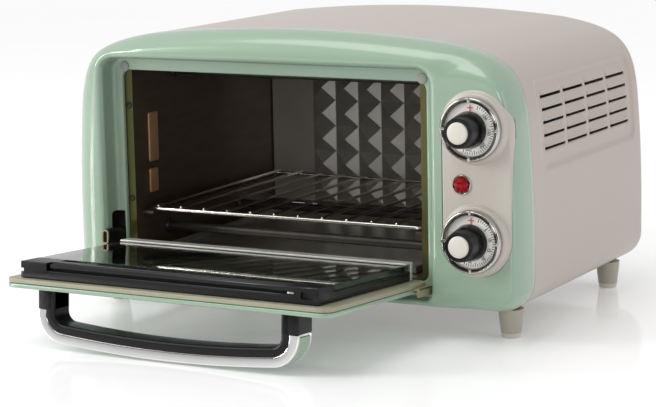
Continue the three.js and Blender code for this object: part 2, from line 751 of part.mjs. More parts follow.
// The black frame on the inside: two low side bars, a low back bar, and a full-height front bar
// whose two ends run back as blocks.
function innerFrame() {
  const { half, z0, z1, y1, side, block } = FRAME;
  const y0 = LINER_IN_Y + GAP;
  const low = INNER_GLASS.y0 - GAP;
  const barZ = INNER_GLASS.z1 + 7.9;
  const window = box(-half + side, half - side, 0, 30, z0 + 8, barZ + 0.5);
  const ledge = box(-half, half, y0, low, z0, z1).subtract(window);
  const bar = box(-half, half, y0, y1, barZ, z1);
  const end = (x0, x1) => box(x0, x1, y0, y1, INNER_GLASS.z1 + GAP, z1);
  const groove = box(-half + 22, half - 34, 11.4, 13.2, z1 - 2.1, z1 + 5);
  return ledge
    .add(bar)
    .add(end(-half, -half + block))
    .add(end(half - block, half))
    .subtract(groove);
}

function innerGlass() {
  const g = INNER_GLASS;
  return box(-FRAME.half + 0.4, FRAME.half - 0.4, g.y0, g.y1, g.z0, g.z1);
}

// The folded metal channel that holds the hinge-side edge of the inner glass.
function glassChannel() {
  const w = FRAME.half;
  const { z0, z1, wall } = CHANNEL;
  const y0 = LINER_IN_Y + GAP;
  const y1 = INNER_GLASS.y1 + GAP + wall;
  const top = box(-w, w, y1 - wall, y1, z0, z1);
  const back = box(-w, w, y0, y1, z0, z0 + wall);
  const end = (x0, x1) => box(x0, x1, y0, y1, z0, FRAME.z0 - GAP);
  return top.add(back).add(end(-w, -w + 0.8)).add(end(w - 0.8, w));
}

function hingeStrap(name, side) {
  const inner = DOOR_HALF_WIDTH + 0.4;
  const x0 = side > 0 ? inner : -inner - STRAP.wide;
  const x1 = x0 + STRAP.wide;
  const half = STRAP.thick / 2;
  const outline = roundedRect(-half, -STRAP.back, half, STRAP.front, half - 0.1);
  const bar = sideways(outline, x0, x1, 3);
  const eye = rod("x", PIN_RADIUS + 0.35, x0 - 1, x1 + 1, [0, 0, 0], 12);
  const footX = side > 0 ? [inner - 8, x1] : [x0, -inner + 8];
  const foot = box(...footX, LINER_IN_Y + GAP, RIM_CLEAR_Y, 14, 23);
  const web = box(x0, x1, half - 1, RIM_CLEAR_Y, 14, 23);
  return piece(name, bar.subtract(eye).add(web).add(foot), KHAKI_PAINT);
}

// The black stay that runs from the door through the slot beside the opening.
function stayArm() {
  const s = STAY;
  const y0 = LINER_IN_Y + GAP;
  const arm = sideways(roundedRect(s.y0, s.z0, s.y1, s.z1, 2.6), s.x0, s.x1, 3);
  const web = box(s.x0, s.x1, y0, s.y0 + 2, 4, 13);
  const foot = box(s.x0, -FRAME.half - 1.4, y0, RIM_CLEAR_Y, 4, 13);
  return arm.add(web).add(foot);
}

function stayEyelet() {
  const { x0, x1, y0, y1, z1 } = STAY;
  const edge = 0.4;
  const outline = (grow) =>
    roundedRect(x0 - grow, y0 + edge - grow, x1 + grow, y1 - edge + grow, 2.6 + grow);
  const hole = level(outline(-1.1), z1 - 2, z1 + 4);
  return level(outline(0), z1 + GAP, z1 + 1.3).subtract(hole);
}

// Half of the handle's U in (x, y), offset inwards from its outermost line.
function handleLine(offset, legTop) {
  const { half, out, bow, radius } = HANDLE;
  const r = Math.max(radius - offset, 6);
  const x = half - offset;
  const y = -out + offset;
  const points = [new THREE.Vector2(x, legTop), new THREE.Vector2(x, y + r)];
  for (let i = 1; i <= 5; i += 1) {
    const a = (i / 5) * (Math.PI / 2);
    points.push(new THREE.Vector2(x - r + r * Math.cos(a), y + r - r * Math.sin(a)));
  }
  const flat = x - r;
  for (let i = 1; i <= 5; i += 1) {
    const t = 1 - i / 5;
    points.push(new THREE.Vector2(flat * t, y - bow * (1 - t * t)));
  }
  return points;
}

// A U-shaped band between two offsets of the handle's line.
function handleBand(outerOffset, innerOffset, legTop, z0, z1) {
  const mirror = (points) => points.map((p) => new THREE.Vector2(-p.x, p.y)).reverse();
  const across = (points) => [...points, ...mirror(points.slice(0, -1))];
  const outer = across(handleLine(outerOffset, legTop));
  const inner = across(handleLine(innerOffset, legTop)).reverse();
  return level(new THREE.Shape([...outer, ...inner]), z0, z1);
}

function handlePieces() {
  const { half, z0, z1 } = HANDLE;
  const top = PANEL_OUT_Y - GAP;
  const bareEnd = top - LEG_BARE;
  const leg = (x0, x1) => box(x0, x1, bareEnd, top, z0, z1);
  const grip = handleBand(TRIM_THICK + GAP, GRIP_THICK, top, z0, z1)
    .add(leg(-half, -half + GRIP_THICK))
    .add(leg(half - GRIP_THICK, half));
  const inlayEnd = bareEnd - GAP - 1.6;
  const groove = handleBand(-2, 1.2, inlayEnd + GAP, z0 + 2.2, z1 - 2.2);
  const trim = handleBand(0, TRIM_THICK, bareEnd - GAP, z0, z1).subtract(groove);
  const inlay = handleBand(0.1, 0.9, inlayEnd, z0 + 2.5, z1 - 2.5);
  return [
    piece("handle_grip", grip, BLACK_PLASTIC),
    piece("handle_trim", trim, CHROME),
    piece("handle_inlay", inlay, MINT),
  ];
}

function door() {
  const group = new THREE.Group();
  group.add(
    piece("door_panel", doorPanel(), MINT),
    piece("door_liner", doorLiner(), KHAKI_PAINT),
    piece("outer_glass", outerGlass(), CLEAR_GLASS),
    piece("inner_frame", innerFrame(), BLACK_PLASTIC),
    piece("inner_glass", innerGlass(), CLEAR_GLASS),
    piece("glass_channel", glassChannel(), ZINC_STEEL),
    hingeStrap("hinge_strap_left", -1),
    hingeStrap("hinge_strap_right", 1),
    piece("stay_arm", stayArm(), BLACK_PLASTIC),
    piece("stay_eyelet", stayEyelet(), ZINC_STEEL),
    ...handlePieces(),
  );
  group.position.set(HINGE.x, HINGE.y, HINGE.z);
  group.rotation.x = OPEN_ANGLE;
  return group;
}

// ---- assembly -----------------------------------------------------------------------------

function body() {
  const group = new THREE.Group();
  group.add(
    piece("front_bezel", frontBezel(), MINT),
    piece("outer_shell", outerShell(), CREAM),
    piece("base_plate", basePlate(), ZINC_STEEL),
    piece("rear_panel", rearPanel(), CREAM),
    piece("cavity_liner", cavityLiner(), CAVITY_STEEL),
    piece("back_reflector", backReflector(), CAVITY_STEEL),
    piece("control_fascia", controlFascia(), CREAM),
    piece("control_bracket", controlBracket(), ZINC_STEEL),
    piece("timer_unit", timerUnit(), BLACK_PLASTIC),
    piece("timer_bell", timerBell(), BRASS),
    piece("thermostat_unit", thermostatUnit(), CERAMIC),
    piece("cord_gland", cordGland(), BLACK_PLASTIC),
    piece("terminal_block", terminalBlock(), CERAMIC),
    dialRing("thermostat_dial_ring", THERMOSTAT_Z),
    dialRing("timer_dial_ring", TIMER_Z),
    dialPlate("thermostat_dial_plate", THERMOSTAT_Z),
    dialPlate("timer_dial_plate", TIMER_Z),
    ...pilotPieces(),
    ...ELEMENTS.map(heatingElement),
    elementBracket("element_bracket_left", ELEMENT_BRACKETS.left),
    elementBracket("element_bracket_right", ELEMENT_BRACKETS.right),
    flangeScrew("flange_screw_upper", 146.8),
    flangeScrew("flange_screw_lower", 79.5),
    bumper("bumper_left", BUMPER.left),
    bumper("bumper_right", BUMPER.right),
    hingePin("hinge_pin_left", -145.8, -137.9),
    hingePin("hinge_pin_right", 109.6, 117.2),
  );
  for (const side of ["left", "right"]) {
    for (const end of ["front", "back"]) {
      const x = BODY_X + (side === "left" ? -FOOT.x : FOOT.x);
      group.add(foot("foot_" + end + "_" + side, x, FOOT[end]));
    }
  }
  return group;
}

const oven = new THREE.Group();
oven.name = "toaster_oven";
oven.add(
  body(),
  door(),
  ...knob("thermostat", THERMOSTAT_Z),
  ...knob("timer", TIMER_Z),
  piece("wire_rack", wireRack(), CHROME),
  piece("crumb_tray", crumbTray(), ZINC_STEEL),
);

// The part's origin is under the middle of the whole oven, door open, on the table.
const bounds = new THREE.Box3().setFromObject(oven, true);
oven.position.set(-BODY_X, -(bounds.min.y + bounds.max.y) / 2, -TABLE_Z);

export default oven;
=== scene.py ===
"""Countertop toaster oven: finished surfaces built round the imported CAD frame.

Shapes are drawn in the same millimetres as the CAD: y = 0 is the flat rim round the door
opening, the body's middle is at BODY_X and the table at TABLE_Z. The door's pieces are drawn on
the shut door, whose origin is on the hinge line, and then turned open.
"""

import json
import math

import bmesh
import bpy
import numpy as np
from mathutils import Matrix, Vector


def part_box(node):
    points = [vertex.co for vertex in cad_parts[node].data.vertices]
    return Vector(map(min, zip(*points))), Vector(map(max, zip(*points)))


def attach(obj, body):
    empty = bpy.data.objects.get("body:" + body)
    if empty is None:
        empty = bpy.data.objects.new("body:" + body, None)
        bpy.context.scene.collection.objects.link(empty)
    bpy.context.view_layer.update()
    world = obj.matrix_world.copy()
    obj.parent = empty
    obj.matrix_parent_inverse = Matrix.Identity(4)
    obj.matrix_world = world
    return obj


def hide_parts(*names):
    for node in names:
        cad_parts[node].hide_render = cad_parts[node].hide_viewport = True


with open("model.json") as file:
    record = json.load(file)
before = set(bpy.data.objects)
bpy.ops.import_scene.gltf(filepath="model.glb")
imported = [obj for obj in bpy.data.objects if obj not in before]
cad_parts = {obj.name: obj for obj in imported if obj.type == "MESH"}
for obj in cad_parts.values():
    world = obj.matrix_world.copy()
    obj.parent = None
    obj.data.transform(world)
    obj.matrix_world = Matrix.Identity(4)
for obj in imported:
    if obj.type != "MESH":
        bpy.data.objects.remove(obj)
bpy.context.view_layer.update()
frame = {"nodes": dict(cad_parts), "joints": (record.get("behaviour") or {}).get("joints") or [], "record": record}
RECORD = frame["record"]
JOINTS = {joint["name"]: joint for joint in frame["joints"]}
BODIES = {n: body for body, nodes in RECORD["behaviour"]["bodies"].items() for n in nodes}
LINK = bpy.context.scene.collection.objects.link

# ---- driving sizes, in millimetres; a rectangle is (x0, z0, x1, z1) ------------------------

MM = 0.001

# Body, seen from the front
BODY_X = 3.0
TABLE_Z = 1.8
HALF_WIDTH = 176.0
TOP_Z = 205.2
CROWN = (113.3, 199.4)
SHOULDER = (173.0, 140.3)
WAIST_Z = 66.0
BOTTOM_Z = 21.8
BOTTOM_RADIUS = 19.4
OPENING = (-135.4, 37.3, 106.0, 172.8)
RECESS = (-143.1, 28.5, 114.8, 182.3)
STAY_SLOT, STAY_SLOT_X = (-8.0, 37.0, 14.0, 70.5), (-146.0, -136.8)  # (y0, z0, y1, z1), x
STRAP_SLOT, STRAP_SLOT_X = (-3.0, 31.0, 13.0, 46.0), (109.4, 114.4)
CENTRE = (-14.7, 105.0)  # near the opening's middle: the bezel is drawn along rays from here

# Body, front to back
BEZEL_FRONT_Y = -16.0
BEZEL_SIDE_Y = 4.0
BEZEL_BACK_Y = 12.0
BEZEL_SKIN = 2.6
BEZEL_ROLL = 23.0  # width of its rolled outer edge
BEZEL_ROLL_LEAST = 5.5  # and beside the dials, where the front is flat
BEZEL_FILLET = 5.2  # between the front and the recess
SHELL_INSET = 0.4
SHELL_SHEET = 0.9
SHELL_TURN_IN = 29.0
SHELL_FRONT_Y = 12.3
SHELL_BACK_Y = 214.0
REAR_FACE_Y = 212.4

# Louvres in both side walls: slits under blades, on a sunk panel
VENT_Y, VENT_Z = 37.0, 126.7
VENT_PITCH_Y, VENT_PITCH_Z = 39.2, 8.7
VENT_COLUMNS, VENT_ROWS = 4, 5
VENT_LENGTH = 36.8
SLIT_HIGH = 2.1
BLADE_HIGH = 5.6
BLADE_OUT = 1.3
VENT_STARTS = [VENT_Y + VENT_PITCH_Y * column for column in range(VENT_COLUMNS)]
VENT_LIPS = [VENT_Z + VENT_PITCH_Z * row + 1.1 for row in range(VENT_ROWS)]
PANEL_Y, PANEL_Z = (28.5, 200.5), (112.0, 174.0)
PANEL_RADIUS, PANEL_DEPTH = 9.0, 1.3
SIDE_WALL_X = 150.0

# Controls
DIAL_X = 148.9
DIAL_Z = {"thermostat": 146.2, "timer": 72.2}
FASCIA = (124.7, 47.5, 174.7, 170.0)
FASCIA_Y = -16.2
FASCIA_BACK_Y = -8.0
BOSS_Y = -19.9
DIAL_BACK_Y = BOSS_Y - 0.2
DIAL_FACE_Y = BOSS_Y - 2.8
PLATE_R = 17.4
RING_R = 21.2
RING_Y = -25.9
SKIRT_Y, SKIRT_R = -23.3, 16.4
INK_THICK = 0.08
TICK_R = 16.6
TICK_WIDTH = 0.45
DIGITS_R, DIGITS_SIZE = 13.2, 3.0
KNOB_FRONT_Y = -42.4
KNOB_BACK_Y = -24.6
PILOT = (139.3, 108.5, 5.6)  # x, z and radius

# Cavity: RACK is (x0, x1, y0, y1, z), and an element's place is (y, z)
WALL_X = -129.4
RACK = (-122.6, 94.2, 14.0, 191.0, 71.0)
RACK_PITCH = 19.3
RACK_WIRE, RACK_CROSS = 1.5, 1.1
ELEMENTS = {
    "upper_front_element": (60, 166.4),
    "upper_rear_element": (145, 166.4),
    "lower_front_element": (46, 52.5),
    "lower_rear_element": (150, 52.5),
}
ELEMENT_X = (-141.1, 111.3)
ELEMENT_TUBE_X = (-127.5, 98.1)

# Small pieces on the body
FLANGE_SCREW_X = -132.7
FLANGE_SCREW_Z = {"flange_screw_upper": 146.8, "flange_screw_lower": 79.5}
FLANGE_Y = 3.3
BUMPER_X = {"bumper_left": -132.8, "bumper_right": 103.4}
BUMPER_Z = 175.2
HINGE_Y, HINGE_Z = -6.5, 34.6
PIN_X = {"hinge_pin_left": (-145.8, -137.9), "hinge_pin_right": (109.6, 117.2)}
FOOT_X = 157.0
FOOT_Y = {"front": 15, "back": 190}
GLAND = (148, 44)  # x and z
REAR_SCREWS = [(-150, 60), (156, 60), (-150, 150), (156, 150), (-70, 188), (76, 188)]

# Door, in its own frame: +Z runs up the shut door and the handle stands out towards -Y
HANDLE_HALF, HANDLE_OUT, HANDLE_BOW, HANDLE_RADIUS = 99.3, 36.6, 3.7, 20.0
HANDLE_Z = (116.0, 134.5)
GRIP_THICK = 12.8
TRIM_THICK = 6.7
LEG_TOP = -1.4
LEG_BARE = 13.0
STRAP_X = (121.4, 127.3)
STAY = (-128.7, 13.4, -123.2, 24.6)  # x0, y0, x1, y1
STAY_Z = (-9.0, 15.6)

BEZEL_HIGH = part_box("front_bezel")[1]
ORIGIN = Vector(
    (
        BEZEL_HIGH.x - (BODY_X + HALF_WIDTH) * MM,
        BEZEL_HIGH.y - BEZEL_BACK_Y * MM,
        BEZEL_HIGH.z - TOP_Z * MM,
    )
)
BODY = Matrix.Translation(ORIGIN) @ Matrix.Scale(MM, 4)
HINGE = JOINTS["door_hinge"]
OPEN_ANGLE = math.radians(HINGE["range_deg"][1])
DOOR = (
    Matrix.Translation(HINGE["pos_m"])
    @ Matrix.Rotation(OPEN_ANGLE, 4, "X")
    @ Matrix.Scale(MM, 4)
)


# ---- materials -----------------------------------------------------------------------------

MOTTLE_TO_GRAIN = 28  # a patch of the tone is this many grains wide
SPLIT_BLUR = 0.2 * MM


def rgb(code):
    """An rrggbb colour as linear RGBA."""
    parts = [int(code[i : i + 2], 16) / 255 for i in (0, 2, 4)]
    linear = [c / 12.92 if c <= 0.04045 else ((c + 0.055) / 1.055) ** 2.4 for c in parts]
    return (*linear, 1.0)


def finish(
    name,
    colour,
    rough,
    metal=0.0,
    grain=900.0,
    bump=0.02,
    mottle=0.04,
    rough_spread=0.06,
    stretch=(1, 1, 1),
    coat=0.0,
    clear=0.0,
    alpha=1.0,
    ior=1.5,
    second=None,
):
    """A procedural material: uneven tone, uneven gloss and a fine bump, all from noise.

    second is (axis, place in mm, colour): the other colour up to that place on the axis.
    """
    mat = bpy.data.materials.new(name)
    mat.use_nodes = True
    tree = mat.node_tree
    link = tree.links.new
    shader = tree.nodes["Principled BSDF"]

    def node(kind, **values):
        made = tree.nodes.new("ShaderNode" + kind)
        for key, value in values.items():
            if hasattr(made, key):
                setattr(made, key, value)
            else:
                made.inputs[key].default_value = value
        return made

    place = node("TexCoord")
    spread = node("Mapping", Scale=stretch)
    link(place.outputs["Object"], spread.inputs["Vector"])
    fine = node("TexNoise", Scale=grain, Detail=3.0, Roughness=0.55)
    broad = node("TexNoise", Scale=grain / MOTTLE_TO_GRAIN, Detail=4.0, Roughness=0.6)
    link(spread.outputs["Vector"], fine.inputs["Vector"])
    link(spread.outputs["Vector"], broad.inputs["Vector"])

    tone = node("ValToRGB")
    base = rgb(colour)
    ends = zip(tone.color_ramp.elements, (0.3, 0.7), (1 - mottle, 1 + mottle))
    for element, position, shade in ends:
        element.position = position
        element.color = (*[min(1.0, c * shade) for c in base[:3]], 1.0)
    link(broad.outputs["Fac"], tone.inputs["Fac"])
    colour_out = tone.outputs["Color"]
    if second:
        axis, at, other = second
        split = node("SeparateXYZ")
        link(place.outputs["Object"], split.inputs["Vector"])
        edge = node("MapRange")
        edge.inputs["From Min"].default_value = at * MM - SPLIT_BLUR
        edge.inputs["From Max"].default_value = at * MM + SPLIT_BLUR
        link(split.outputs[axis], edge.inputs["Value"])
        both = node("Mix", data_type="RGBA")
        both.inputs[6].default_value = rgb(other)
        link(edge.outputs["Result"], both.inputs["Factor"])
        link(colour_out, both.inputs[7])
        colour_out = both.outputs[2]
    link(colour_out, shader.inputs["Base Color"])

    gloss = node("MapRange")
    gloss.inputs["To Min"].default_value = max(0.02, rough - rough_spread)
    gloss.inputs["To Max"].default_value = min(1.0, rough + rough_spread)
    link(broad.outputs["Fac"], gloss.inputs["Value"])
    link(gloss.outputs["Result"], shader.inputs["Roughness"])
    relief = node("Bump", Strength=bump, Distance=0.0004)
    link(fine.outputs["Fac"], relief.inputs["Height"])
    link(relief.outputs["Normal"], shader.inputs["Normal"])

    shader.inputs["Metallic"].default_value = metal
    shader.inputs["IOR"].default_value = ior
    shader.inputs["Coat Weight"].default_value = coat
    shader.inputs["Coat Roughness"].default_value = 0.06
    shader.inputs["Transmission Weight"].default_value = clear
    shader.inputs["Alpha"].default_value = alpha
    return mat


MINT = finish("mint_enamel", "93aa95", 0.2, coat=0.5, bump=0.03, mottle=0.01, rough_spread=0.02)
MINT_GLOSS = finish("mint_moulding", "97ae98", 0.18, coat=0.4, bump=0.015, mottle=0.02)
CREAM = finish("cream_enamel", "b7aca3", 0.34, bump=0.06, mottle=0.01, coat=0.15, rough_spread=0.02)
CREAM_PLASTIC = finish("cream_moulding", "beb6ad", 0.3, bump=0.05, mottle=0.01, rough_spread=0.03)
FOOT_PLASTIC = finish("foot_moulding", "ada598", 0.3, mottle=0.03, second=("Z", 3.4, "cbc6bc"))
BLACK = finish("black_moulding", "0f0f10", 0.32, grain=1500, bump=0.08, mottle=0.1, ior=1.38)
KNOB_BLACK = finish("knob_black", "070608", 0.19, grain=1500, bump=0.03, mottle=0.08, ior=1.42)
CHROME = finish("bright_chrome", "e6e6e4", 0.06, metal=1.0, bump=0.006, rough_spread=0.02)
DIAL_CHROME = finish("dial_chrome", "b9b6b2", 0.07, metal=1.0, bump=0.006, rough_spread=0.02)
WIRE = finish("rack_plating", "ded9d0", 0.2, metal=1.0, bump=0.03, rough_spread=0.08)
ZINC = finish("zinc_plate", "bab7ae", 0.34, metal=0.9, stretch=(1, 9, 9), bump=0.08, mottle=0.08)
# A darker, browner plating than the zinc, with an uneven tone, for the eyelet at the stay's end.
EYELET = finish("dark_brown_plate", "8f7d69", 0.38, metal=0.8, bump=0.08, mottle=0.2)
# Warm brown on plain steel pads: painted warm light thrown onto them.
PAD_PAINTED_WARM_LIGHT = finish("pad_plate_painted_warm_light", "b48e6a", 0.36, metal=0.3, bump=0.08, mottle=0.15)
DARK_SCREW = finish("dark_screw", "45432f", 0.36, metal=0.5, bump=0.05, mottle=0.1)
STRIP = finish("bright_strip", "e9e6de", 0.3, metal=0.6, stretch=(1, 9, 9), bump=0.05)
# Steel tinted warm brown: a painted reflection of warm light inside the cavity. In front of the split it turns
# olive, on the front flange.
CAVITY_PAINTED_REFLECTION = finish(
    "cavity_plate_painted_reflection",
    "6b5c4f",
    0.3,
    metal=0.7,
    stretch=(6, 1, 6),
    bump=0.08,
    mottle=0.12,
    second=("Y", (ORIGIN.y / MM) + 5.1, "63623c"),
)
REFLECTOR = finish("pressed_plate", "a9a6a0", 0.34, metal=0.5, bump=0.06, mottle=0.08)
KHAKI = finish("khaki_paint", "8f8a6c", 0.36, bump=0.05, mottle=0.06)
LINER = finish("liner_paint", "9b9883", 0.4, bump=0.05, mottle=0.04)
GLASS = finish("inner_pane", "dbe6dd", 0.012, clear=1.0, bump=0.0, rough_spread=0.004, ior=1.65)
DARK_GLASS = finish("outer_pane", "728e7c", 0.02, clear=0.9, bump=0.0, rough_spread=0.004)
CLEAR = finish("clear_moulding", "f6f7f6", 0.03, clear=1.0, bump=0.0, rough_spread=0.01, alpha=0.06)
RED = finish("red_lens", "93040a", 0.12, bump=0.01, mottle=0.2, ior=1.35)
WHITE = finish("dial_white", "f6f3ec", 0.3, bump=0.02, mottle=0.01)
CAP = finish("cap_cream", "d3cfc5", 0.4, bump=0.12, grain=2200, mottle=0.02)
INK = finish("black_ink", "26231f", 0.5, mottle=0.05)
RED_INK = finish("red_ink", "d8606a", 0.45, mottle=0.05)
RUBBER = finish("grey_rubber", "9f9d99", 0.6, bump=0.12, mottle=0.06)
CERAMIC = finish("ceramic", "e5dfd0", 0.55, bump=0.15, mottle=0.04)
BRASS = finish("brass", "b08a4a", 0.28, metal=1.0, mottle=0.08)
QUARTZ = finish("element_sheath", "3a3632", 0.36, metal=0.3, mottle=0.15, bump=0.05)

# CAD nodes whose own shape is shown
KEPT = {
    "base_plate": ZINC,
    "cavity_liner": CAVITY_PAINTED_REFLECTION,
    "back_reflector": REFLECTOR,
    "control_bracket": ZINC,
    "timer_unit": BLACK,
    "timer_bell": BRASS,
    "thermostat_unit": CERAMIC,
    "terminal_block": CERAMIC,
    "pilot_lamp": CLEAR,
    "element_bracket_left": ZINC,
    "element_bracket_right": ZINC,
    "crumb_tray": ZINC,
}


# ---- shapes: each one is (points, faces) ---------------------------------------------------


def join(*shapes):
    points, faces = [], []
    for more_points, more_faces in shapes:
        start = len(points)
        points += list(more_points)
        faces += [tuple(i + start for i in face) for face in more_faces]
    return points, faces


def moved(shape, matrix):
    return [tuple(matrix @ Vector(p)) for p in shape[0]], shape[1]


def loft(rings, around=True, back_to_start=False):
    """Quads between rings of equally many points, with both ends capped unless it is open."""
    count = len(rings[0])
    points = [tuple(p) for ring in rings for p in ring]
    faces = []
    steps = len(rings) if back_to_start else len(rings) - 1
    for k in range(steps):
        a, b = k * count, (k + 1) % len(rings) * count
        for i in range(count if around else count - 1):
            j = (i + 1) % count
            faces.append((a + i, a + j, b + j, b + i))
    if around and not back_to_start:
        faces.append(tuple(reversed(range(count))))
        faces.append(tuple(range((len(rings) - 1) * count, len(rings) * count)))
    return points, faces


def lathe(profile, at=(0, 0), axis="y", sides=64, turn=0.0):
    """A profile of (radius, distance along the axis) turned round the axis; at is its place."""
    points, faces, rows = [], [], []
    for r, t in profile:
        row = []
        for i in range(sides if r > 1e-6 else 1):
            a = turn + 2 * math.pi * i / sides
            u, w = r * math.cos(a), r * math.sin(a)
            point = {
                "x": (t, at[0] + u, at[1] + w),
                "y": (at[0] + u, t, at[1] + w),
                "z": (at[0] + u, at[1] + w, t),
            }[axis]
            row.append(len(points))
            points.append(point)
        rows.append(row)
    for low, high in zip(rows, rows[1:]):
        for i in range(sides):
            j = (i + 1) % sides
            if len(low) > 1 and len(high) > 1:
                faces.append((low[i], low[j], high[j], high[i]))
            elif len(low) > 1:
                faces.append((low[i], low[j], high[0]))
            elif len(high) > 1:
                faces.append((low[0], high[j], high[i]))
    return points, faces


def soften(profile, radii, steps=4, closed=False):
    """Rounds the corners of a line of 2-D points, with one radius for each."""
    count = len(profile)
    out = []
    for i, (point, r) in enumerate(zip(profile, radii)):
        if (not closed and i in (0, count - 1)) or r <= 0:
            out.append(tuple(point))
            continue
        p, a, b = (Vector(q) for q in (point, profile[i - 1], profile[(i + 1) % count]))
        to_a, to_b = a - p, b - p
        back = min(r, to_a.length * 0.45, to_b.length * 0.45)
        start, end = p + to_a.normalized() * back, p + to_b.normalized() * back
        for k in range(steps + 1):
            t = k / steps
            out.append(tuple((1 - t) ** 2 * start + 2 * t * (1 - t) * p + t * t * end))
    return out


def round_rect(x0, z0, x1, z1, r, low=None, steps=8):
    """A rectangle with round corners, anticlockwise from its lower right corner.

    low is the radius of the lower corners where it isn't r.
    """
    low = r if low is None else low
    corners = [
        (x1 - low, z0 + low, low, -90),
        (x1 - r, z1 - r, r, 0),
        (x0 + r, z1 - r, r, 90),
        (x0 + low, z0 + low, low, 180),
    ]
    out = []
    for cx, cz, radius, start in corners:
        for k in range(steps + 1):
            a = math.radians(start + 90 * k / steps)
            out.append((cx + radius * math.cos(a), cz + radius * math.sin(a)))
    return out


def inset(outline, distance):
    """An anticlockwise closed outline, pulled in."""
    p = np.array(outline, float)
    along = np.roll(p, -1, 0) - np.roll(p, 1, 0)
    along /= np.maximum(np.linalg.norm(along, axis=1, keepdims=True), 1e-9)
    return [tuple(q) for q in p + distance * np.stack([-along[:, 1], along[:, 0]], 1)]


PLANES = {
    "y": lambda u, w, t: (u, t, w),
    "z": lambda u, w, t: (u, w, t),
    "x": lambda u, w, t: (t, u, w),
}


def slab(outline, lo, hi, r, axis="y", steps=4):
    """An outline made thick along an axis, with both its rims rounded."""
    rings = []
    for k in range(steps + 1):
        a = math.pi / 2 * k / steps
        rings.append((lo + r * (1 - math.sin(a)), r * (1 - math.cos(a))))
    rings = list(reversed(rings))
    rings += [(hi - (t - lo), back) for t, back in reversed(rings)]
    put = PLANES[axis]
    return loft([[put(u, w, t) for u, w in inset(outline, back)] for t, back in rings])


def brick(x0, x1, y0, y1, z0, z1):
    return slab([(x1, z0), (x1, z1), (x0, z1), (x0, z0)], y0, y1, 0.0, steps=1)


def tube(path, radii, sides=12, closed=False):
    """A round wire along a path of 3-D points, with one radius for each."""
    pts = [Vector(p) for p in path]
    count = len(pts)
    rings = []
    normal = None
    for i, (p, r) in enumerate(zip(pts, radii)):
        before = pts[i - 1] if closed or i else p
        after = pts[(i + 1) % count] if closed or i < count - 1 else p
        along = (after - before).normalized()
        if normal is None:
            normal = along.orthogonal().normalized()
        normal = (normal - along * normal.dot(along)).normalized()
        side = along.cross(normal)
        ring = []
        for k in range(sides):
            a = 2 * math.pi * k / sides
            ring.append(p + r * (math.cos(a) * normal + math.sin(a) * side))
        rings.append(ring)
    return loft(rings, back_to_start=closed)


def round_wire(a, b, r):
    """A straight wire with rounded ends."""
    a, b = Vector(a), Vector(b)
    along = (b - a).normalized()
    steps = [(-1, 0.02), (-0.7, 0.7), (0, 1)]
    path = [a + along * (r * (1 + t)) for t, _ in steps]
    path += [b - along * (r * (1 + t)) for t, _ in reversed(steps)]
    radii = [r * s for _, s in steps] + [r * s for _, s in reversed(steps)]
    return tube(path, radii)


# ---- objects -------------------------------------------------------------------------------


def clean(mesh, merge, flat=None):
    """Joins points closer than merge metres, and turns every face outwards.

    Faces within flat degrees of each other become one.
    """
    work = bmesh.new()
    work.from_mesh(mesh)
    bmesh.ops.remove_doubles(work, verts=work.verts, dist=merge)
    if flat is not None:
        limit = math.radians(flat)
        bmesh.ops.dissolve_limit(work, angle_limit=limit, verts=work.verts, edges=work.edges)
    bmesh.ops.recalc_face_normals(work, faces=work.faces)
    work.to_mesh(mesh)
    work.free()


def shade(mesh, sharp):
    """Smooth shading, except across edges sharper than this many degrees."""
    mesh.shade_smooth()
    mesh.set_sharp_from_angle(angle=math.radians(sharp))


def thing(name, shape, material, matrix=BODY, sharp=38.0):
    points, faces = shape
    mesh = bpy.data.meshes.new(name)
    mesh.from_pydata(points, [], faces)
    mesh.transform(matrix)
    clean(mesh, 1e-7)
    if material:
        mesh.materials.append(material)
    shade(mesh, sharp)
    obj = bpy.data.objects.new(name, mesh)
    LINK(obj)
    return obj


def stand_for(obj, node):
    """obj takes this CAD node's place and body, and the node is hidden."""
    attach(obj, BODIES[node])
    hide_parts(node)
    return obj


def piece(node, shape, material, matrix=BODY, sharp=38.0):
    """A new shape for a CAD node."""
    return stand_for(thing(node + "_finish", shape, material, matrix, sharp), node)


def extra(name, body, shape, material, matrix=BODY):
    """A detail that has no CAD node of its own."""
    obj = thing(name, shape, material, matrix)
    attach(obj, body)


def refined(node, material, width, segments=3):
    """A CAD node's own shape with rounded edges."""
    mesh = frame["nodes"][node].data.copy()
    clean(mesh, 2e-6, flat=1.0)
    mesh.materials.clear()
    mesh.materials.append(material)
    shade(mesh, 30)
    obj = bpy.data.objects.new(node + "_finish", mesh)
    LINK(obj)
    mod = obj.modifiers.new("edges", "BEVEL")
    mod.width = width * MM
    mod.segments = segments
    mod.limit_method = "ANGLE"
    mod.angle_limit = math.radians(28.0)
    mod.harden_normals = True
    return stand_for(obj, node)


def evaluated_mesh(obj):
    """A new mesh of the object as it looks after its modifiers."""
    bpy.context.view_layer.update()
    seen = obj.evaluated_get(bpy.context.evaluated_depsgraph_get())
    return bpy.data.meshes.new_from_object(seen)


def cut(obj, *shapes, matrix=BODY, sharp=30.0):
    """Takes the shapes out of the object, one after the other."""
    for shape in shapes:
        cutter = thing("cutter", shape, None, matrix)
        mod = obj.modifiers.new("cut", "BOOLEAN")
        mod.object = cutter
        mod.operation = "DIFFERENCE"
        mod.solver = "EXACT"
        mesh = evaluated_mesh(obj)
        obj.modifiers.clear()
        obj.data = mesh
        bpy.data.objects.remove(cutter)
    shade(obj.data, sharp)


# ---- body ----------------------------------------------------------------------------------


def curve(points, steps):
    """A Bezier curve's points."""
    out = []
    degree = len(points) - 1
    for k in range(steps + 1):
        t = k / steps
        weights = [
            math.comb(degree, i) * t**i * (1 - t) ** (degree - i) for i in range(degree + 1)
        ]
        out.append(tuple(sum(w * p[c] for w, p in zip(weights, points)) for c in (0, 1)))
    return out


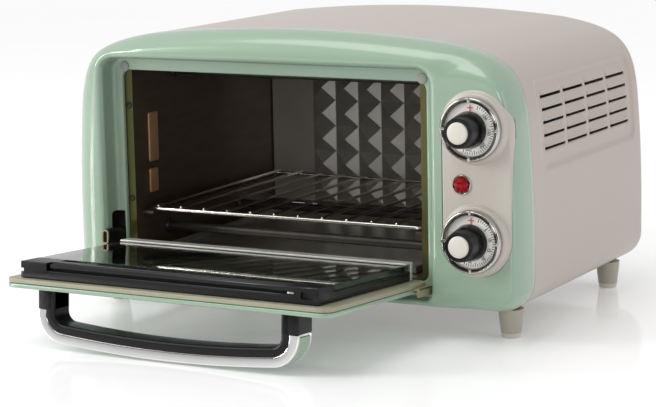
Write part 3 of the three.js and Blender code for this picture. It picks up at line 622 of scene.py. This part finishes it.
def half_outline():
    """The right half of the body seen from the front, from the bottom's middle to the top's."""
    corner_z = BOTTOM_Z + BOTTOM_RADIUS
    corner_x = HALF_WIDTH - BOTTOM_RADIUS
    out = [(0, BOTTOM_Z), (corner_x / 2, BOTTOM_Z)]
    for degrees in range(-90, 1, 9):
        a = math.radians(degrees)
        x, z = BOTTOM_RADIUS * math.cos(a), BOTTOM_RADIUS * math.sin(a)
        out.append((corner_x + x, corner_z + z))
    waist = (HALF_WIDTH, WAIST_Z)
    out += [(HALF_WIDTH, corner_z + 12), waist]
    out += curve([waist, (HALF_WIDTH, WAIST_Z + 37.2), SHOULDER], 10)[1:]
    handles = [(SHOULDER[0] - 2.9, SHOULDER[1] + 43.3), (CROWN[0] + 45.5, CROWN[1] - 7.6)]
    out += curve([SHOULDER, *handles, CROWN], 36)[1:]
    out += curve([CROWN, (CROWN[0] / 2, TOP_Z), (0, TOP_Z)], 12)[1:]
    return out


def body_outline():
    half = half_outline()
    left = [(-x, z) for x, z in reversed(half[1:-1])]
    return [(BODY_X + x, z) for x, z in half + left]


def ray_angles(outlines):
    """Angles of rays from CENTRE: one through each point of the outlines, and one every 2°."""
    corners = np.concatenate([np.array(outline) - CENTRE for outline in outlines])
    angles = list(np.arctan2(corners[:, 1], corners[:, 0]))
    angles = sorted(angles + [math.radians(a) for a in range(-180, 180, 2)])
    past_all, least_turn = 9.0, 0.0012
    following = angles[1:] + [past_all]
    return np.array([a for a, b in zip(angles, following) if b - a > least_turn])


def reach(outline, angles):
    """How far rays from CENTRE run to a closed outline."""
    p = np.array(outline) - CENTRE
    q = np.roll(p, -1, 0)
    out = []
    for a in angles:
        d = np.array((math.cos(a), math.sin(a)))
        e = q - p
        cross = d[0] * e[:, 1] - d[1] * e[:, 0]
        cross = np.where(np.abs(cross) < 1e-12, 1e-12, cross)
        t = (p[:, 0] * e[:, 1] - p[:, 1] * e[:, 0]) / cross
        s = (p[:, 0] * d[1] - p[:, 1] * d[0]) / cross
        hits = t[(s >= -1e-9) & (s <= 1 + 1e-9) & (t > 0)]
        out.append(hits.max())
    return np.array(out)


def gap_to(outline, points):
    """Each point's distance to a closed outline."""
    p = np.array(outline)
    e = np.roll(p, -1, 0) - p
    rel = points[:, None, :] - p[None]
    t = np.clip((rel * e).sum(2) / np.maximum((e * e).sum(1), 1e-12), 0, 1)
    return np.linalg.norm(rel - t[..., None] * e, axis=2).min(1)


def smoothstep(low, high, x):
    t = np.clip((np.asarray(x, float) - low) / (high - low), 0, 1)
    return t * t * (3 - 2 * t)


def bezel_shape():
    """The front moulding as closed rings round CENTRE, from its back edge over the front face,
    down the recess to the rim of the opening, and back along the inner skin."""
    outer = body_outline()
    recess = round_rect(*RECESS, 10, 4, steps=10)
    opening = round_rect(*OPENING, 6, steps=8)
    angles = ray_angles((outer, recess, opening))
    way = np.stack([np.cos(angles), np.sin(angles)], 1)
    r_out, r_rec, r_open = (reach(o, angles) for o in (outer, recess, opening))

    def ring(radius, y):
        xz = np.array(CENTRE) + way * np.asarray(radius)[:, None]
        return [(u, t, w) for (u, w), t in zip(xz, np.broadcast_to(y, len(angles)))]

    span = gap_to(outer, np.array(CENTRE) + way * r_rec[:, None])
    beside_dials = smoothstep(0.86, 0.95, way[:, 0])
    roll = np.minimum(span * 0.9, BEZEL_ROLL) * (1 - beside_dials)
    roll = np.maximum(roll + BEZEL_ROLL_LEAST * beside_dials, BEZEL_ROLL_LEAST)
    fillet = np.minimum(BEZEL_FILLET, span * 0.4)
    front = []
    steps = 38
    for k in range(steps + 1):
        s = (1 - math.cos(math.pi * k / steps)) / 2
        radius = r_out + (r_rec - r_out) * s
        xz = np.array(CENTRE) + way * radius[:, None]
        rolled = np.clip(1 - gap_to(outer, xz) / roll, 0, 1)
        y = BEZEL_FRONT_Y + (BEZEL_SIDE_Y - BEZEL_FRONT_Y) * (1 - np.sqrt(1 - rolled**2.15))
        lip = np.clip(1 - gap_to(recess, xz) / fillet, 0, 1)
        front.append((radius, y + fillet * (1 - np.sqrt(1 - lip**2))))
    edge_y = front[-1][1]
    rim_y = -2.4

    rings = [ring(r_out - 2.4, BEZEL_BACK_Y), ring(r_out - 0.5, BEZEL_BACK_Y)]
    rings += [ring(r_out, BEZEL_BACK_Y - 0.5), ring(r_out, 8.0)]
    rings += [ring(r, y) for r, y in front]
    rings += [ring(r_rec, edge_y * t + rim_y * (1 - t)) for t in (0.66, 0.33, 0.0)]
    rings += [ring(r_rec - d, y) for d, y in ((0.35, -1.2), (1.1, -0.4), (2.3, 0.0))]
    rings += [ring(r_open + d, y) for d, y in ((1.6, 0.0), (0.8, 0.1), (0.2, 0.6), (0, 1.4))]
    rings += [ring(r_open, 3.0), ring(r_rec - 1.0, 3.0), ring(r_rec + 1.8, 2.4)]
    rings += [ring(r_rec + 2.4, 0.0)]
    for r, y in reversed(front[4:-6:3]):
        rings.append(ring(np.minimum(r, r_out - BEZEL_SKIN), y + BEZEL_SKIN))
    rings += [ring(r_out - BEZEL_SKIN, 5.0)]
    return loft(rings, back_to_start=True)


def build_bezel():
    """The bezel, less the door stay's slot, the hinge strap's slot and the fascia's seat."""
    obj = piece("front_bezel", bezel_shape(), MINT, sharp=50)
    stay_slot = slab(round_rect(*STAY_SLOT, 3), *STAY_SLOT_X, 0.3, axis="x")
    strap_slot = slab(round_rect(*STRAP_SLOT, 2), *STRAP_SLOT_X, 0.3, axis="x")
    seat = inset(round_rect(*FASCIA, 25, steps=20), -0.08)
    in_front_y = BEZEL_FRONT_Y - 24
    fascia_seat = slab(seat, in_front_y, FASCIA_BACK_Y + 0.1, 0)
    cut(obj, stay_slot, strap_slot, fascia_seat, sharp=50)


def shell_levels():
    """Heights of the side walls' points, with the louvres' edges among them."""
    levels = [111, 112.4, 113.6, 115, 117, 119.4, 122, 124]
    for lip in VENT_LIPS:
        levels += [lip + d for d in (-SLIT_HIGH, 0.0, 0.5, 1.2, 2.1, 3.2, 4.4, BLADE_HIGH)]
    return levels + [170.2, 171.4, 172.6, 174, 175.6]


def shell_section():
    """The shell cut across: (x from the body's middle, z), open along the bottom."""
    half = half_outline()
    levels = shell_levels()
    xs, zs = zip(*[p for p in half if p[0] >= 100 and 60 < p[1] < 199.5])
    edge_x = HALF_WIDTH - SHELL_TURN_IN
    right = [(edge_x, BOTTOM_Z)]
    right += [p for p in half if p[1] < levels[0] - 2 and p[0] > edge_x]
    right += [(float(np.interp(z, zs, xs)), z) for z in levels]
    right += [p for p in half if p[1] > levels[-1] + 1]
    return right + [(-x, z) for x, z in reversed(right[:-1])]


def shell_stations():
    """The y of each ring of the shell, and how far its back edge is rolled in there."""
    louvre = [0, 0.7, 1.6, 2.8, 4.4, 8, 14, 22, 28.8, 32.4, 34.2, 35.3, 36.1, VENT_LENGTH]
    ys = [SHELL_FRONT_Y, 12.9, 14, 18, 23, 28, 29, 30, 31, 32.4, 34.4]
    ys += [start + along for start in VENT_STARTS for along in louvre]
    ys += [193.6, 195.2, 196.6, 197.8, 199, 200.2, 202, 205, 208]
    rolled = {210: 0.15, 211.6: 0.55, 212.8: 1.3, 213.6: 2.4, SHELL_BACK_Y: 4.2}
    return [(y, 0.0) for y in ys] + list(rolled.items())


def vent_relief(y, z):
    """How far a side wall stands out at a place: a sunk panel with blades rising from it."""
    edge_y = min(y - PANEL_Y[0], PANEL_Y[1] - y)
    edge_z = min(z - PANEL_Z[0], PANEL_Z[1] - z)
    corner = math.hypot(max(PANEL_RADIUS - edge_y, 0), max(PANEL_RADIUS - edge_z, 0))
    out = -PANEL_DEPTH * float(smoothstep(0.0, 3.6, PANEL_RADIUS - corner))
    for start in VENT_STARTS:
        from_end = min(y - start, start + VENT_LENGTH - y)
        if from_end <= 0:
            continue
        for lip in VENT_LIPS:
            rise = (lip + BLADE_HIGH - z) / BLADE_HIGH
            if 0 < rise <= 1.0001:
                out += BLADE_OUT * rise**1.7 * float(smoothstep(0, 3.0, from_end))
    return out


def build_shell():
    section = shell_section()
    along = np.gradient(np.array(section, float), axis=0)
    along /= np.linalg.norm(along, axis=1, keepdims=True)
    outwards = np.stack([along[:, 1], -along[:, 0]], 1)
    rings = []
    for y, roll in shell_stations():
        ring = []
        for (x, z), (nx, nz) in zip(section, outwards):
            push = -SHELL_INSET - roll
            if abs(x) > SIDE_WALL_X and 110 < z < 176:
                push += vent_relief(y, z)
            ring.append((BODY_X + x + nx * push, y, z + nz * push))
        rings.append(ring)
    points, faces = loft(rings, around=False)

    def is_slit(face):
        y = sum(points[i][1] for i in face) / 4
        z = sum(section[i % len(section)][1] for i in face) / 4
        x = points[face[0]][0] - BODY_X
        in_row = any(lip - SLIT_HIGH + 0.05 < z < lip - 0.02 for lip in VENT_LIPS)
        in_column = any(start + 0.8 < y < start + VENT_LENGTH - 0.8 for start in VENT_STARTS)
        return abs(x) > SIDE_WALL_X and in_row and in_column

    walls = [face for face in faces if not is_slit(face)]
    obj = piece("outer_shell", (points, walls), CREAM)
    thick = obj.modifiers.new("sheet", "SOLIDIFY")
    thick.thickness = SHELL_SHEET * MM
    thick.offset = -1.0


# ---- controls ------------------------------------------------------------------------------


def build_fascia():
    outline = round_rect(*FASCIA, 24.9, steps=20)
    plate = slab(outline, FASCIA_Y, FASCIA_BACK_Y, 1.6, steps=5)
    profile = [(0, -10), (25, -10), (24.8, FASCIA_Y + 0.2), (24.2, -16.3), (23.7, -17.3)]
    profile += [(23.1, -18.8), (22.7, -19.5), (22.1, BOSS_Y), (0, BOSS_Y)]
    bosses = [lathe(profile, (DIAL_X, z), sides=96) for z in DIAL_Z.values()]
    piece("control_fascia", join(plate, *bosses), CREAM_PLASTIC)


def round_dial(prefix, degrees):
    """Takes a shape drawn above the y axis to its place round a dial."""
    centre = Matrix.Translation((DIAL_X, 0, DIAL_Z[prefix]))
    return centre @ Matrix.Rotation(math.radians(degrees), 4, "Y")


def build_ring(prefix):
    """The chromed ring: a rounded outer rim, a groove, a thin inner rim and four tabs."""
    back = DIAL_BACK_Y
    rim = [(17.2, back), (21.0, back), (RING_R, back - 0.8), (RING_R + 0.1, -23.2)]
    rim += [(RING_R, -24.4), (20.7, -25.3), (20.1, RING_Y), (19.5, -25.8), (19.2, -25.2)]
    rim += [(19.0, -24.2), (18.75, -23.6), (18.5, -24.0), (18.35, -24.8), (18.0, -25.2)]
    rim += [(17.65, -24.9), (17.5, -24.0), (17.2, back)]
    tab = slab(round_rect(-0.9, 17.6, 0.9, 20.8, 0.6, steps=3), RING_Y - 0.1, -23.2, 0.3)
    tabs = [moved(tab, round_dial(prefix, degrees)) for degrees in (0, 90, 180, 270)]
    ring = lathe(rim, (DIAL_X, DIAL_Z[prefix]), sides=96)
    piece(prefix + "_dial_ring", join(ring, *tabs), DIAL_CHROME, sharp=60)


def flat_digits(words):
    """Numbers as flat faces in the x, y plane, centred on the origin."""
    text = bpy.data.curves.new("digits", "FONT")
    text.body = words
    text.size = DIGITS_SIZE
    text.offset = 0.05
    text.align_x = "CENTER"
    text.align_y = "CENTER"
    text.resolution_u = 3
    holder = bpy.data.objects.new("digits", text)
    LINK(holder)
    mesh = evaluated_mesh(holder)
    bpy.data.objects.remove(holder)
    return [tuple(v.co) for v in mesh.vertices], [tuple(p.vertices) for p in mesh.polygons]


def build_dial_face(prefix, numbers):
    """The white plate, with its ticks and its numbers as (degrees, words)."""
    back, face = DIAL_BACK_Y, DIAL_FACE_Y
    plate = [(0, back), (PLATE_R, back), (PLATE_R, face + 0.3), (17.1, face), (0, face)]
    at = (DIAL_X, DIAL_Z[prefix])
    piece(prefix + "_dial_plate", lathe(plate, at, sides=80), WHITE)
    ink = []
    for i, degrees in enumerate(range(20, 201, 6)):
        length = 2.6 if i % 5 == 0 else 1.7
        half = TICK_WIDTH / 2
        tick = brick(-half, half, face - INK_THICK, face, TICK_R - length, TICK_R)
        ink.append(moved(tick, round_dial(prefix, degrees)))
    upright = Matrix.Translation((0, face - INK_THICK, DIGITS_R)) @ Matrix.Rotation(
        math.pi / 2, 4, "X"
    )
    for degrees, words in numbers:
        ink.append(moved(flat_digits(words), round_dial(prefix, degrees) @ upright))
    extra(prefix + "_dial_marks", "oven", join(*ink), INK)


def build_knob(prefix):
    """The tapered grip, its pale cap, the clear skirt with its pointer, and the shaft."""
    z = DIAL_Z[prefix]
    at = (DIAL_X, z)
    front, back = KNOB_FRONT_Y, KNOB_BACK_Y
    grip = [(0, back), (12.3, back), (12.3, back - 1.6)]
    grip += [(10.0, front + 0.4), (9.6, front), (7.5, front), (7.4, front + 0.8), (0, front + 0.8)]
    grip = soften(grip, [0, 0.8, 0.7, 0.8, 0.4, 0.2, 0.2, 0], steps=5)
    piece(prefix + "_knob_grip", lathe(grip, at, sides=80), KNOB_BLACK)
    cap = [(0, front + 0.6), (7.2, front + 0.6), (7.2, front - 0.5), (6.9, front - 1.0)]
    cap += [(6.0, front - 1.35), (4, front - 1.6), (0, front - 1.75)]
    piece(prefix + "_knob_cap", lathe(cap, at, sides=80), CAP)
    edge = SKIRT_R - 0.2
    skirt = [(4, SKIRT_Y), (edge, SKIRT_Y), (SKIRT_R, -23.6), (edge, -23.9), (4, -23.9)]
    piece(prefix + "_knob_skirt", lathe(skirt + skirt[:1], at, sides=64), CLEAR)
    hand_y = (SKIRT_Y + 0.05, SKIRT_Y + 0.2)
    hand = join(
        brick(DIAL_X - 0.35, DIAL_X + 0.35, *hand_y, z + 9, z + 16.1),
        brick(DIAL_X - 2.3, DIAL_X + 2.3, *hand_y, z + 14.0, z + 14.6),
    )
    extra(prefix + "_pointer", prefix + "_knob", hand, RED_INK)
    tip = back - 11.5
    shaft = [(0, tip), (2.8, tip), (3, tip + 0.5), (3, 9), (0, 9)]
    piece(prefix + "_shaft", lathe(shaft, at, sides=32), ZINC)


def build_dials():
    numbers = {
        "thermostat": [(50, "100"), (95, "150"), (140, "200"), (185, "250")],
        "timer": [(50, "5"), (80, "10"), (110, "15"), (140, "20"), (185, "30")],
    }
    for prefix in DIAL_Z:
        build_ring(prefix)
        build_dial_face(prefix, numbers[prefix])
        build_knob(prefix)


def build_pilot():
    """A cut lens of ten sides in a chromed rim."""
    x, z, r = PILOT
    lens = [(0, -20.1), (2.2, -19.7), (4.3, -18.5), (r - 0.1, -16.6)]
    lens += [(r - 0.1, FASCIA_BACK_Y), (0, FASCIA_BACK_Y)]
    piece("pilot_lens", lathe(lens, (x, z), sides=10, turn=0.3), RED, sharp=8)
    rim = [(r, -9), (r, -16.4), (r + 0.2, -17.2), (r + 0.6, -17.4), (r + 1.0, -17.1)]
    rim += [(r + 1.25, -16.6), (r + 1.3, FASCIA_Y - 0.1), (r + 1.2, FASCIA_Y), (r + 1.1, -9), (r, -9)]
    piece("pilot_rim", lathe(rim, (x, z), sides=64), DIAL_CHROME, sharp=60)


# ---- cavity and rack -----------------------------------------------------------------------


def build_rack():
    x0, x1, y0, y1, z = RACK
    outline = round_rect(x0, y0, x1, y1, 5.0, steps=6)
    path = [(x, y, z) for x, y in outline]
    shapes = [tube(path, [RACK_WIRE] * len(path), 14, closed=True)]
    height = z + RACK_WIRE + RACK_CROSS - 0.6
    x = x0 + 5.6
    while x < x1 - 5:
        ends = (x, y0 - RACK_WIRE, height), (x, y1 + RACK_WIRE, height)
        shapes.append(round_wire(*ends, RACK_CROSS))
        x += RACK_PITCH
    piece("wire_rack", join(*shapes), WIRE, sharp=70)


def build_elements():
    """Sheathed tubes with a collar and a pin at each end."""
    (x0, x1), (left, right) = ELEMENT_X, ELEMENT_TUBE_X
    pin, tube_r, collar = 1.6, 3.3, 4.7
    profile = [(0, x0), (pin, x0), (pin, x0 + 5), (collar - 0.2, x0 + 5), (collar, x0 + 5.4)]
    profile += [(collar, left - 0.4), (4.4, left), (tube_r, left)]
    profile += [(tube_r, right), (4.4, right), (collar, right + 0.4)]
    profile += [(collar, x1 - 5.4), (collar - 0.2, x1 - 5), (pin, x1 - 5), (pin, x1), (0, x1)]
    for node, place in ELEMENTS.items():
        piece(node, lathe(profile, place, axis="x", sides=32), QUARTZ)


def build_wall_pads():
    """Two raised plates on the cavity's left wall, coloured with painted warm light: (y, z, half length, half
    height).
    """
    shapes = []
    for y, z, half, tall in ((27.2, 121.4, 6.0, 18.0), (26.3, 89.6, 5.4, 8.7)):
        plate = round_rect(y - half, z - tall, y + half, z + tall, 1.6, steps=5)
        shapes.append(slab(plate, WALL_X, WALL_X + 1.8, 0.8, axis="x"))
    extra("wall_pads", "oven", join(*shapes), PAD_PAINTED_WARM_LIGHT)


# ---- small pieces on the body --------------------------------------------------------------


def screw(at, y, r=2.3):
    """A pan head screw that faces the front."""
    profile = [(0, y), (r, y), (r, y - 0.35), (r * 0.85, y - 0.9), (r * 0.5, y - 1.25)]
    return lathe(profile + [(0, y - 1.3)], at, sides=28)


def cross_cuts(at, y, r):
    """The two arms of a screw head's cross, which end at y."""
    x, z = at
    arm = 0.28
    return [
        brick(x - r, x + r, y - 3, y, z - arm, z + arm),
        brick(x - arm, x + arm, y - 3, y, z - r, z + r),
    ]


def build_flange_screws():
    for node, z in FLANGE_SCREW_Z.items():
        at = (FLANGE_SCREW_X, z)
        obj = piece(node, screw(at, FLANGE_Y), DARK_SCREW)
        cut(obj, *cross_cuts(at, FLANGE_Y - 0.55, 1.3))


def build_bumpers():
    profile = [(0, 0), (3.6, 0), (3.7, -0.25), (3.5, -0.75), (2.9, -1.05), (0, -1.2)]
    for node, x in BUMPER_X.items():
        piece(node, lathe(profile, (x, BUMPER_Z), sides=36), RUBBER)


def build_hinge_pins():
    for node, (a, b) in PIN_X.items():
        profile = [(0, a), (1.1, a), (1.3, a + 0.3), (1.3, b - 0.3), (1.1, b), (0, b)]
        piece(node, lathe(profile, (HINGE_Y, HINGE_Z), axis="x", sides=24), ZINC)


def build_feet():
    """Tapered feet with paler tips, which are hollow underneath."""
    low = TABLE_Z
    profile = [(0, low + 0.6), (4.6, low + 0.6), (5.2, low), (6.0, low), (6.45, low + 0.5)]
    profile += [(6.55, low + 2.8), (6.9, low + 3.1), (6.95, low + 3.6), (8.55, 19.0)]
    profile += [(8.6, 21.5), (0, 21.5)]
    for end, y in FOOT_Y.items():
        for side, x in (("left", BODY_X - FOOT_X), ("right", BODY_X + FOOT_X)):
            piece(f"foot_{end}_{side}", lathe(profile, (x, y), "z", 48), FOOT_PLASTIC)


def build_gland():
    """The cord's outlet: a flanged bush through the rear panel, with its bore."""
    bore = 3.6
    gland = [(bore, 204), (9.4, 204), (9.4, 210.4), (8, 210.7), (8, 212.7), (11, 212.8)]
    gland += [(11, 216), (9.6, 217), (6.7, 219.4), (6.2, 220), (3.9, 220), (bore, 219.6)]
    piece("cord_gland", lathe(gland + gland[:1], GLAND, sides=48), BLACK)


def build_rear():
    refined("rear_panel", CREAM, 0.3)
    facing_back = Matrix.Rotation(math.pi, 4, "Z")
    screws = []
    for x, z in REAR_SCREWS:
        place = Matrix.Translation((x, REAR_FACE_Y, z)) @ facing_back
        screws.append(moved(screw((0, 0), 0.0, 3.0), place))
    extra("rear_screws", "oven", join(*screws), ZINC)


# ---- door ----------------------------------------------------------------------------------


def handle_line(offset, leg_top):
    """The handle's U in (x, y) at an offset inwards from its outermost line."""
    corner_steps, flat_steps = 12, 14
    r = max(HANDLE_RADIUS - offset, 6.0)
    x, y = HANDLE_HALF - offset, -HANDLE_OUT + offset
    half = [(x, leg_top), (x, (leg_top + y + r) / 2), (x, y + r)]
    for k in range(1, corner_steps + 1):
        a = math.pi / 2 * k / corner_steps
        half.append((x - r + r * math.cos(a), y + r - r * math.sin(a)))
    for k in range(1, flat_steps + 1):
        t = 1 - k / flat_steps
        half.append(((x - r) * t, y - HANDLE_BOW * (1 - t * t)))
    return half + [(-u, w) for u, w in reversed(half[:-1])]


def handle_band(section, leg_top):
    """A closed section of (offset, z) points drawn along the handle's U."""
    lines = [handle_line(offset, leg_top) for offset, _ in section]
    rings = []
    for k in range(len(lines[0])):
        rings.append([(*line[k], z) for line, (_, z) in zip(lines, section)])
    return loft(rings)


def build_handle():
    """Three layers from the fingers outwards: black grip, chromed trim and painted strip."""
    z0, z1 = HANDLE_Z
    bare = LEG_TOP - LEG_BARE
    inner = [(7.0, z0), (GRIP_THICK, z0), (GRIP_THICK, z1), (7.0, z1)]
    grip = handle_band(soften(inner, [0.4, 2, 2, 0.4], 5, True), LEG_TOP)
    legs = []
    for x in (-HANDLE_HALF, HANDLE_HALF - GRIP_THICK):
        foot = round_rect(x, z0, x + GRIP_THICK, z1, 1.4, steps=4)
        legs.append(slab(foot, bare, LEG_TOP, 0.5))
    piece("handle_grip", join(grip, *legs), BLACK, DOOR)
    outer = [(0, z0 + 2.3), (0, z0), (TRIM_THICK, z0), (TRIM_THICK, z1), (0, z1), (0, z1 - 2.3)]
    groove = [(1.2, z1 - 2.3), (1.2, z0 + 2.3)]
    section = soften(outer + groove, [0.3, 1.4, 0.8, 0.8, 1.4, 0.3, 0.2, 0.2], 4, True)
    piece("handle_trim", handle_band(section, bare - 0.3), CHROME, DOOR)
    strip = [(0.9, z0 + 2.5), (0.9, z1 - 2.5), (0.15, z1 - 2.5), (0.0, (z0 + z1) / 2)]
    section = soften(strip + [(0.15, z0 + 2.5)], [0, 0, 0.4, 0.3, 0.4], 3, True)
    piece("handle_inlay", handle_band(section, bare - 1.9), MINT_GLOSS, DOOR)


def strap_shape(side):
    """A folded steel strap: a flat top plate with a round eye and a flange at its outer side."""
    x0, x1 = STRAP_X
    top = slab(round_rect(x0, -3.0, x1, 23.0, 1.6, steps=4), 1.5, 2.7, 0.3)
    flange = slab(round_rect(-3.2, -3.4, 2.7, 23.0, 2.0, steps=4), x1 - 1.2, x1, 0.3, axis="x")
    tab = slab(round_rect(x0 - 5.0, 14.0, x0 + 1.0, 22.0, 1.0, steps=3), 1.6, 2.7, 0.3)
    wall = [(1.6, x0 + 1.6), (3.0, x0 + 1.6), (3.0, x1), (1.6, x1)]
    eye = lathe(wall + wall[:1], axis="x", sides=28)
    return moved(join(top, flange, tab, eye), Matrix.Diagonal((side, 1, 1, 1)))


def build_inner_frame():
    """The black frame round the inner pane, with the grooves and notches along its upper edge."""
    obj = refined("inner_frame", BLACK, 0.7)
    grooves = [
        brick(-92.6, 96.0, 11.2, 13.2, 131.4, 135),
        brick(-92.6, -89.4, 11.2, 17.4, 128.4, 135),
        slab(round_rect(100.6, 8.6, 109.4, 13.4, 1.2, steps=3), 132.2, 135, 0.2, axis="z"),
        brick(-114, -111.0, 9.4, 12.0, 129, 135),
        brick(-90.0, 90.0, 16.0, 17.4, 127, 135),
    ]
    cut(obj, *grooves, matrix=DOOR)


def build_door():
    refined("door_panel", MINT, 0.7, 4)
    refined("door_liner", LINER, 0.4)
    build_inner_frame()
    refined("inner_glass", GLASS, 0.5)
    refined("outer_glass", DARK_GLASS, 0.3)
    refined("glass_channel", STRIP, 0.25)
    for side, name in ((-1, "hinge_strap_left"), (1, "hinge_strap_right")):
        piece(name, strap_shape(side), KHAKI, DOOR)
    arm = slab(round_rect(*STAY, 2.7, steps=6), *STAY_Z, 1.4, axis="z")
    piece("stay_arm", arm, BLACK, DOOR)
    refined("stay_eyelet", EYELET, 0.3)
    clip = slab(round_rect(90.4, 131.2, 95.4, 133.8, 0.5, steps=3), 11.3, 12.8, 0.3)
    extra("frame_clip", "door", clip, ZINC, DOOR)


# ---- floor, light and camera, in metres ----------------------------------------------------

FLOOR_HALF = 9.0
FLOOR_GLOW = 0.17
WORLD_LIGHT = 0.74
DARK_SIDE = 0.07
SUN_POWER, SUN_SPREAD = 0.9, 38.0
SUN_WAY = (0.25, 0.35, -1.0)
SENSOR_WIDTH, IMAGE_WIDTH, FOCAL_LENGTH = 36, 656, 2200  # mm, then image points
CAMERA_PLACE = (0.7428, -1.3380, 0.3411)
AZIMUTH, ELEVATION, ROLL = (math.radians(a) for a in (28.8, 9.8, -1.2))


def build_floor():
    mesh = bpy.data.meshes.new("floor")
    s = FLOOR_HALF
    mesh.from_pydata([(-s, -s, 0), (s, -s, 0), (s, s, 0), (-s, s, 0)], [], [(0, 1, 2, 3)])
    floor = bpy.data.objects.new("floor", mesh)
    LINK(floor)
    white = finish("floor_white", "f2f2f2", 0.1, grain=60, bump=0.0, mottle=0.003, ior=1.35)
    glow = white.node_tree.nodes["Principled BSDF"].inputs
    glow["Emission Color"].default_value = (1, 1, 1, 1)
    glow["Emission Strength"].default_value = FLOOR_GLOW
    mesh.materials.append(white)


def build_world():
    """A white backdrop for the camera, and light that fades towards the front and below."""
    world = bpy.data.worlds.new("studio")
    bpy.context.scene.world = world
    world.use_nodes = True
    nodes, link = world.node_tree.nodes, world.node_tree.links.new
    backdrop = nodes["Background"]
    backdrop.inputs["Color"].default_value = (0.97, 0.97, 0.97, 1)
    light = nodes.new("ShaderNodeBackground")
    light.inputs["Strength"].default_value = WORLD_LIGHT
    place = nodes.new("ShaderNodeTexCoord")
    split = nodes.new("ShaderNodeSeparateXYZ")
    link(place.outputs["Generated"], split.inputs["Vector"])
    most = nodes.new("ShaderNodeMath")
    most.operation = "MAXIMUM"
    for slot, (axis, low, high) in enumerate((("Y", -0.45, 0.1), ("Z", 0.25, 0.8))):
        fade = nodes.new("ShaderNodeMapRange")
        fade.inputs["From Min"].default_value = low
        fade.inputs["From Max"].default_value = high
        fade.inputs["To Min"].default_value = DARK_SIDE
        link(split.outputs[axis], fade.inputs["Value"])
        link(fade.outputs["Result"], most.inputs[slot])
    link(most.outputs["Value"], light.inputs["Color"])
    ray = nodes.new("ShaderNodeLightPath")
    both = nodes.new("ShaderNodeMixShader")
    link(ray.outputs["Is Camera Ray"], both.inputs["Fac"])
    link(light.outputs["Background"], both.inputs[1])
    link(backdrop.outputs["Background"], both.inputs[2])
    link(both.outputs["Shader"], nodes["World Output"].inputs["Surface"])


def aimed(way):
    """The turn that points a light or a camera along a direction."""
    return Vector(way).to_track_quat("-Z", "Y").to_matrix().to_4x4()


def panel_light(name, place, size, power):
    """A soft rectangular light that faces the oven."""
    light = bpy.data.lights.new(name, "AREA")
    light.shape = "RECTANGLE"
    light.size, light.size_y = size
    light.energy = power
    obj = bpy.data.objects.new(name, light)
    LINK(obj)
    oven = Vector((0, 0, 0.1))
    obj.matrix_world = Matrix.Translation(place) @ aimed(oven - Vector(place))


def build_lights():
    sun = bpy.data.lights.new("sky_panel", "SUN")
    sun.energy = SUN_POWER
    sun.angle = math.radians(SUN_SPREAD)
    sky = bpy.data.objects.new("sky_panel", sun)
    LINK(sky)
    sky.matrix_world = Matrix.Translation((0, 0, 3)) @ aimed(SUN_WAY)
    panel_light("left_light", (-1.7, -1.3, 0.8), (0.5, 1.4), 31)
    panel_light("front_light", (0.9, -2.6, 0.75), (0.9, 0.7), 11)
    panel_light("right_light", (2.4, -0.2, 0.8), (0.8, 1.6), 6)
    bpy.context.scene.view_settings.view_transform = "Standard"


def build_camera():
    camera = bpy.data.objects.new("camera", bpy.data.cameras.new("camera"))
    camera.data.sensor_width = SENSOR_WIDTH
    camera.data.lens = FOCAL_LENGTH * SENSOR_WIDTH / IMAGE_WIDTH
    level = math.cos(ELEVATION)
    way = (-math.sin(AZIMUTH) * level, math.cos(AZIMUTH) * level, -math.sin(ELEVATION))
    turn = aimed(way) @ Matrix.Rotation(ROLL, 4, "Z")
    camera.matrix_world = Matrix.Translation(CAMERA_PLACE) @ turn
    LINK(camera)
    bpy.context.scene.camera = camera


# ---- assembly ------------------------------------------------------------------------------

build_camera()
build_bezel()
build_shell()
build_fascia()
build_dials()
build_pilot()
build_rack()
build_elements()
build_wall_pads()
build_flange_screws()
build_bumpers()
build_hinge_pins()
build_feet()
build_gland()
build_rear()
build_handle()
build_door()
for node, material in KEPT.items():
    mesh = frame["nodes"][node].data
    mesh.materials.clear()
    mesh.materials.append(material)
build_floor()
build_world()
build_lights()
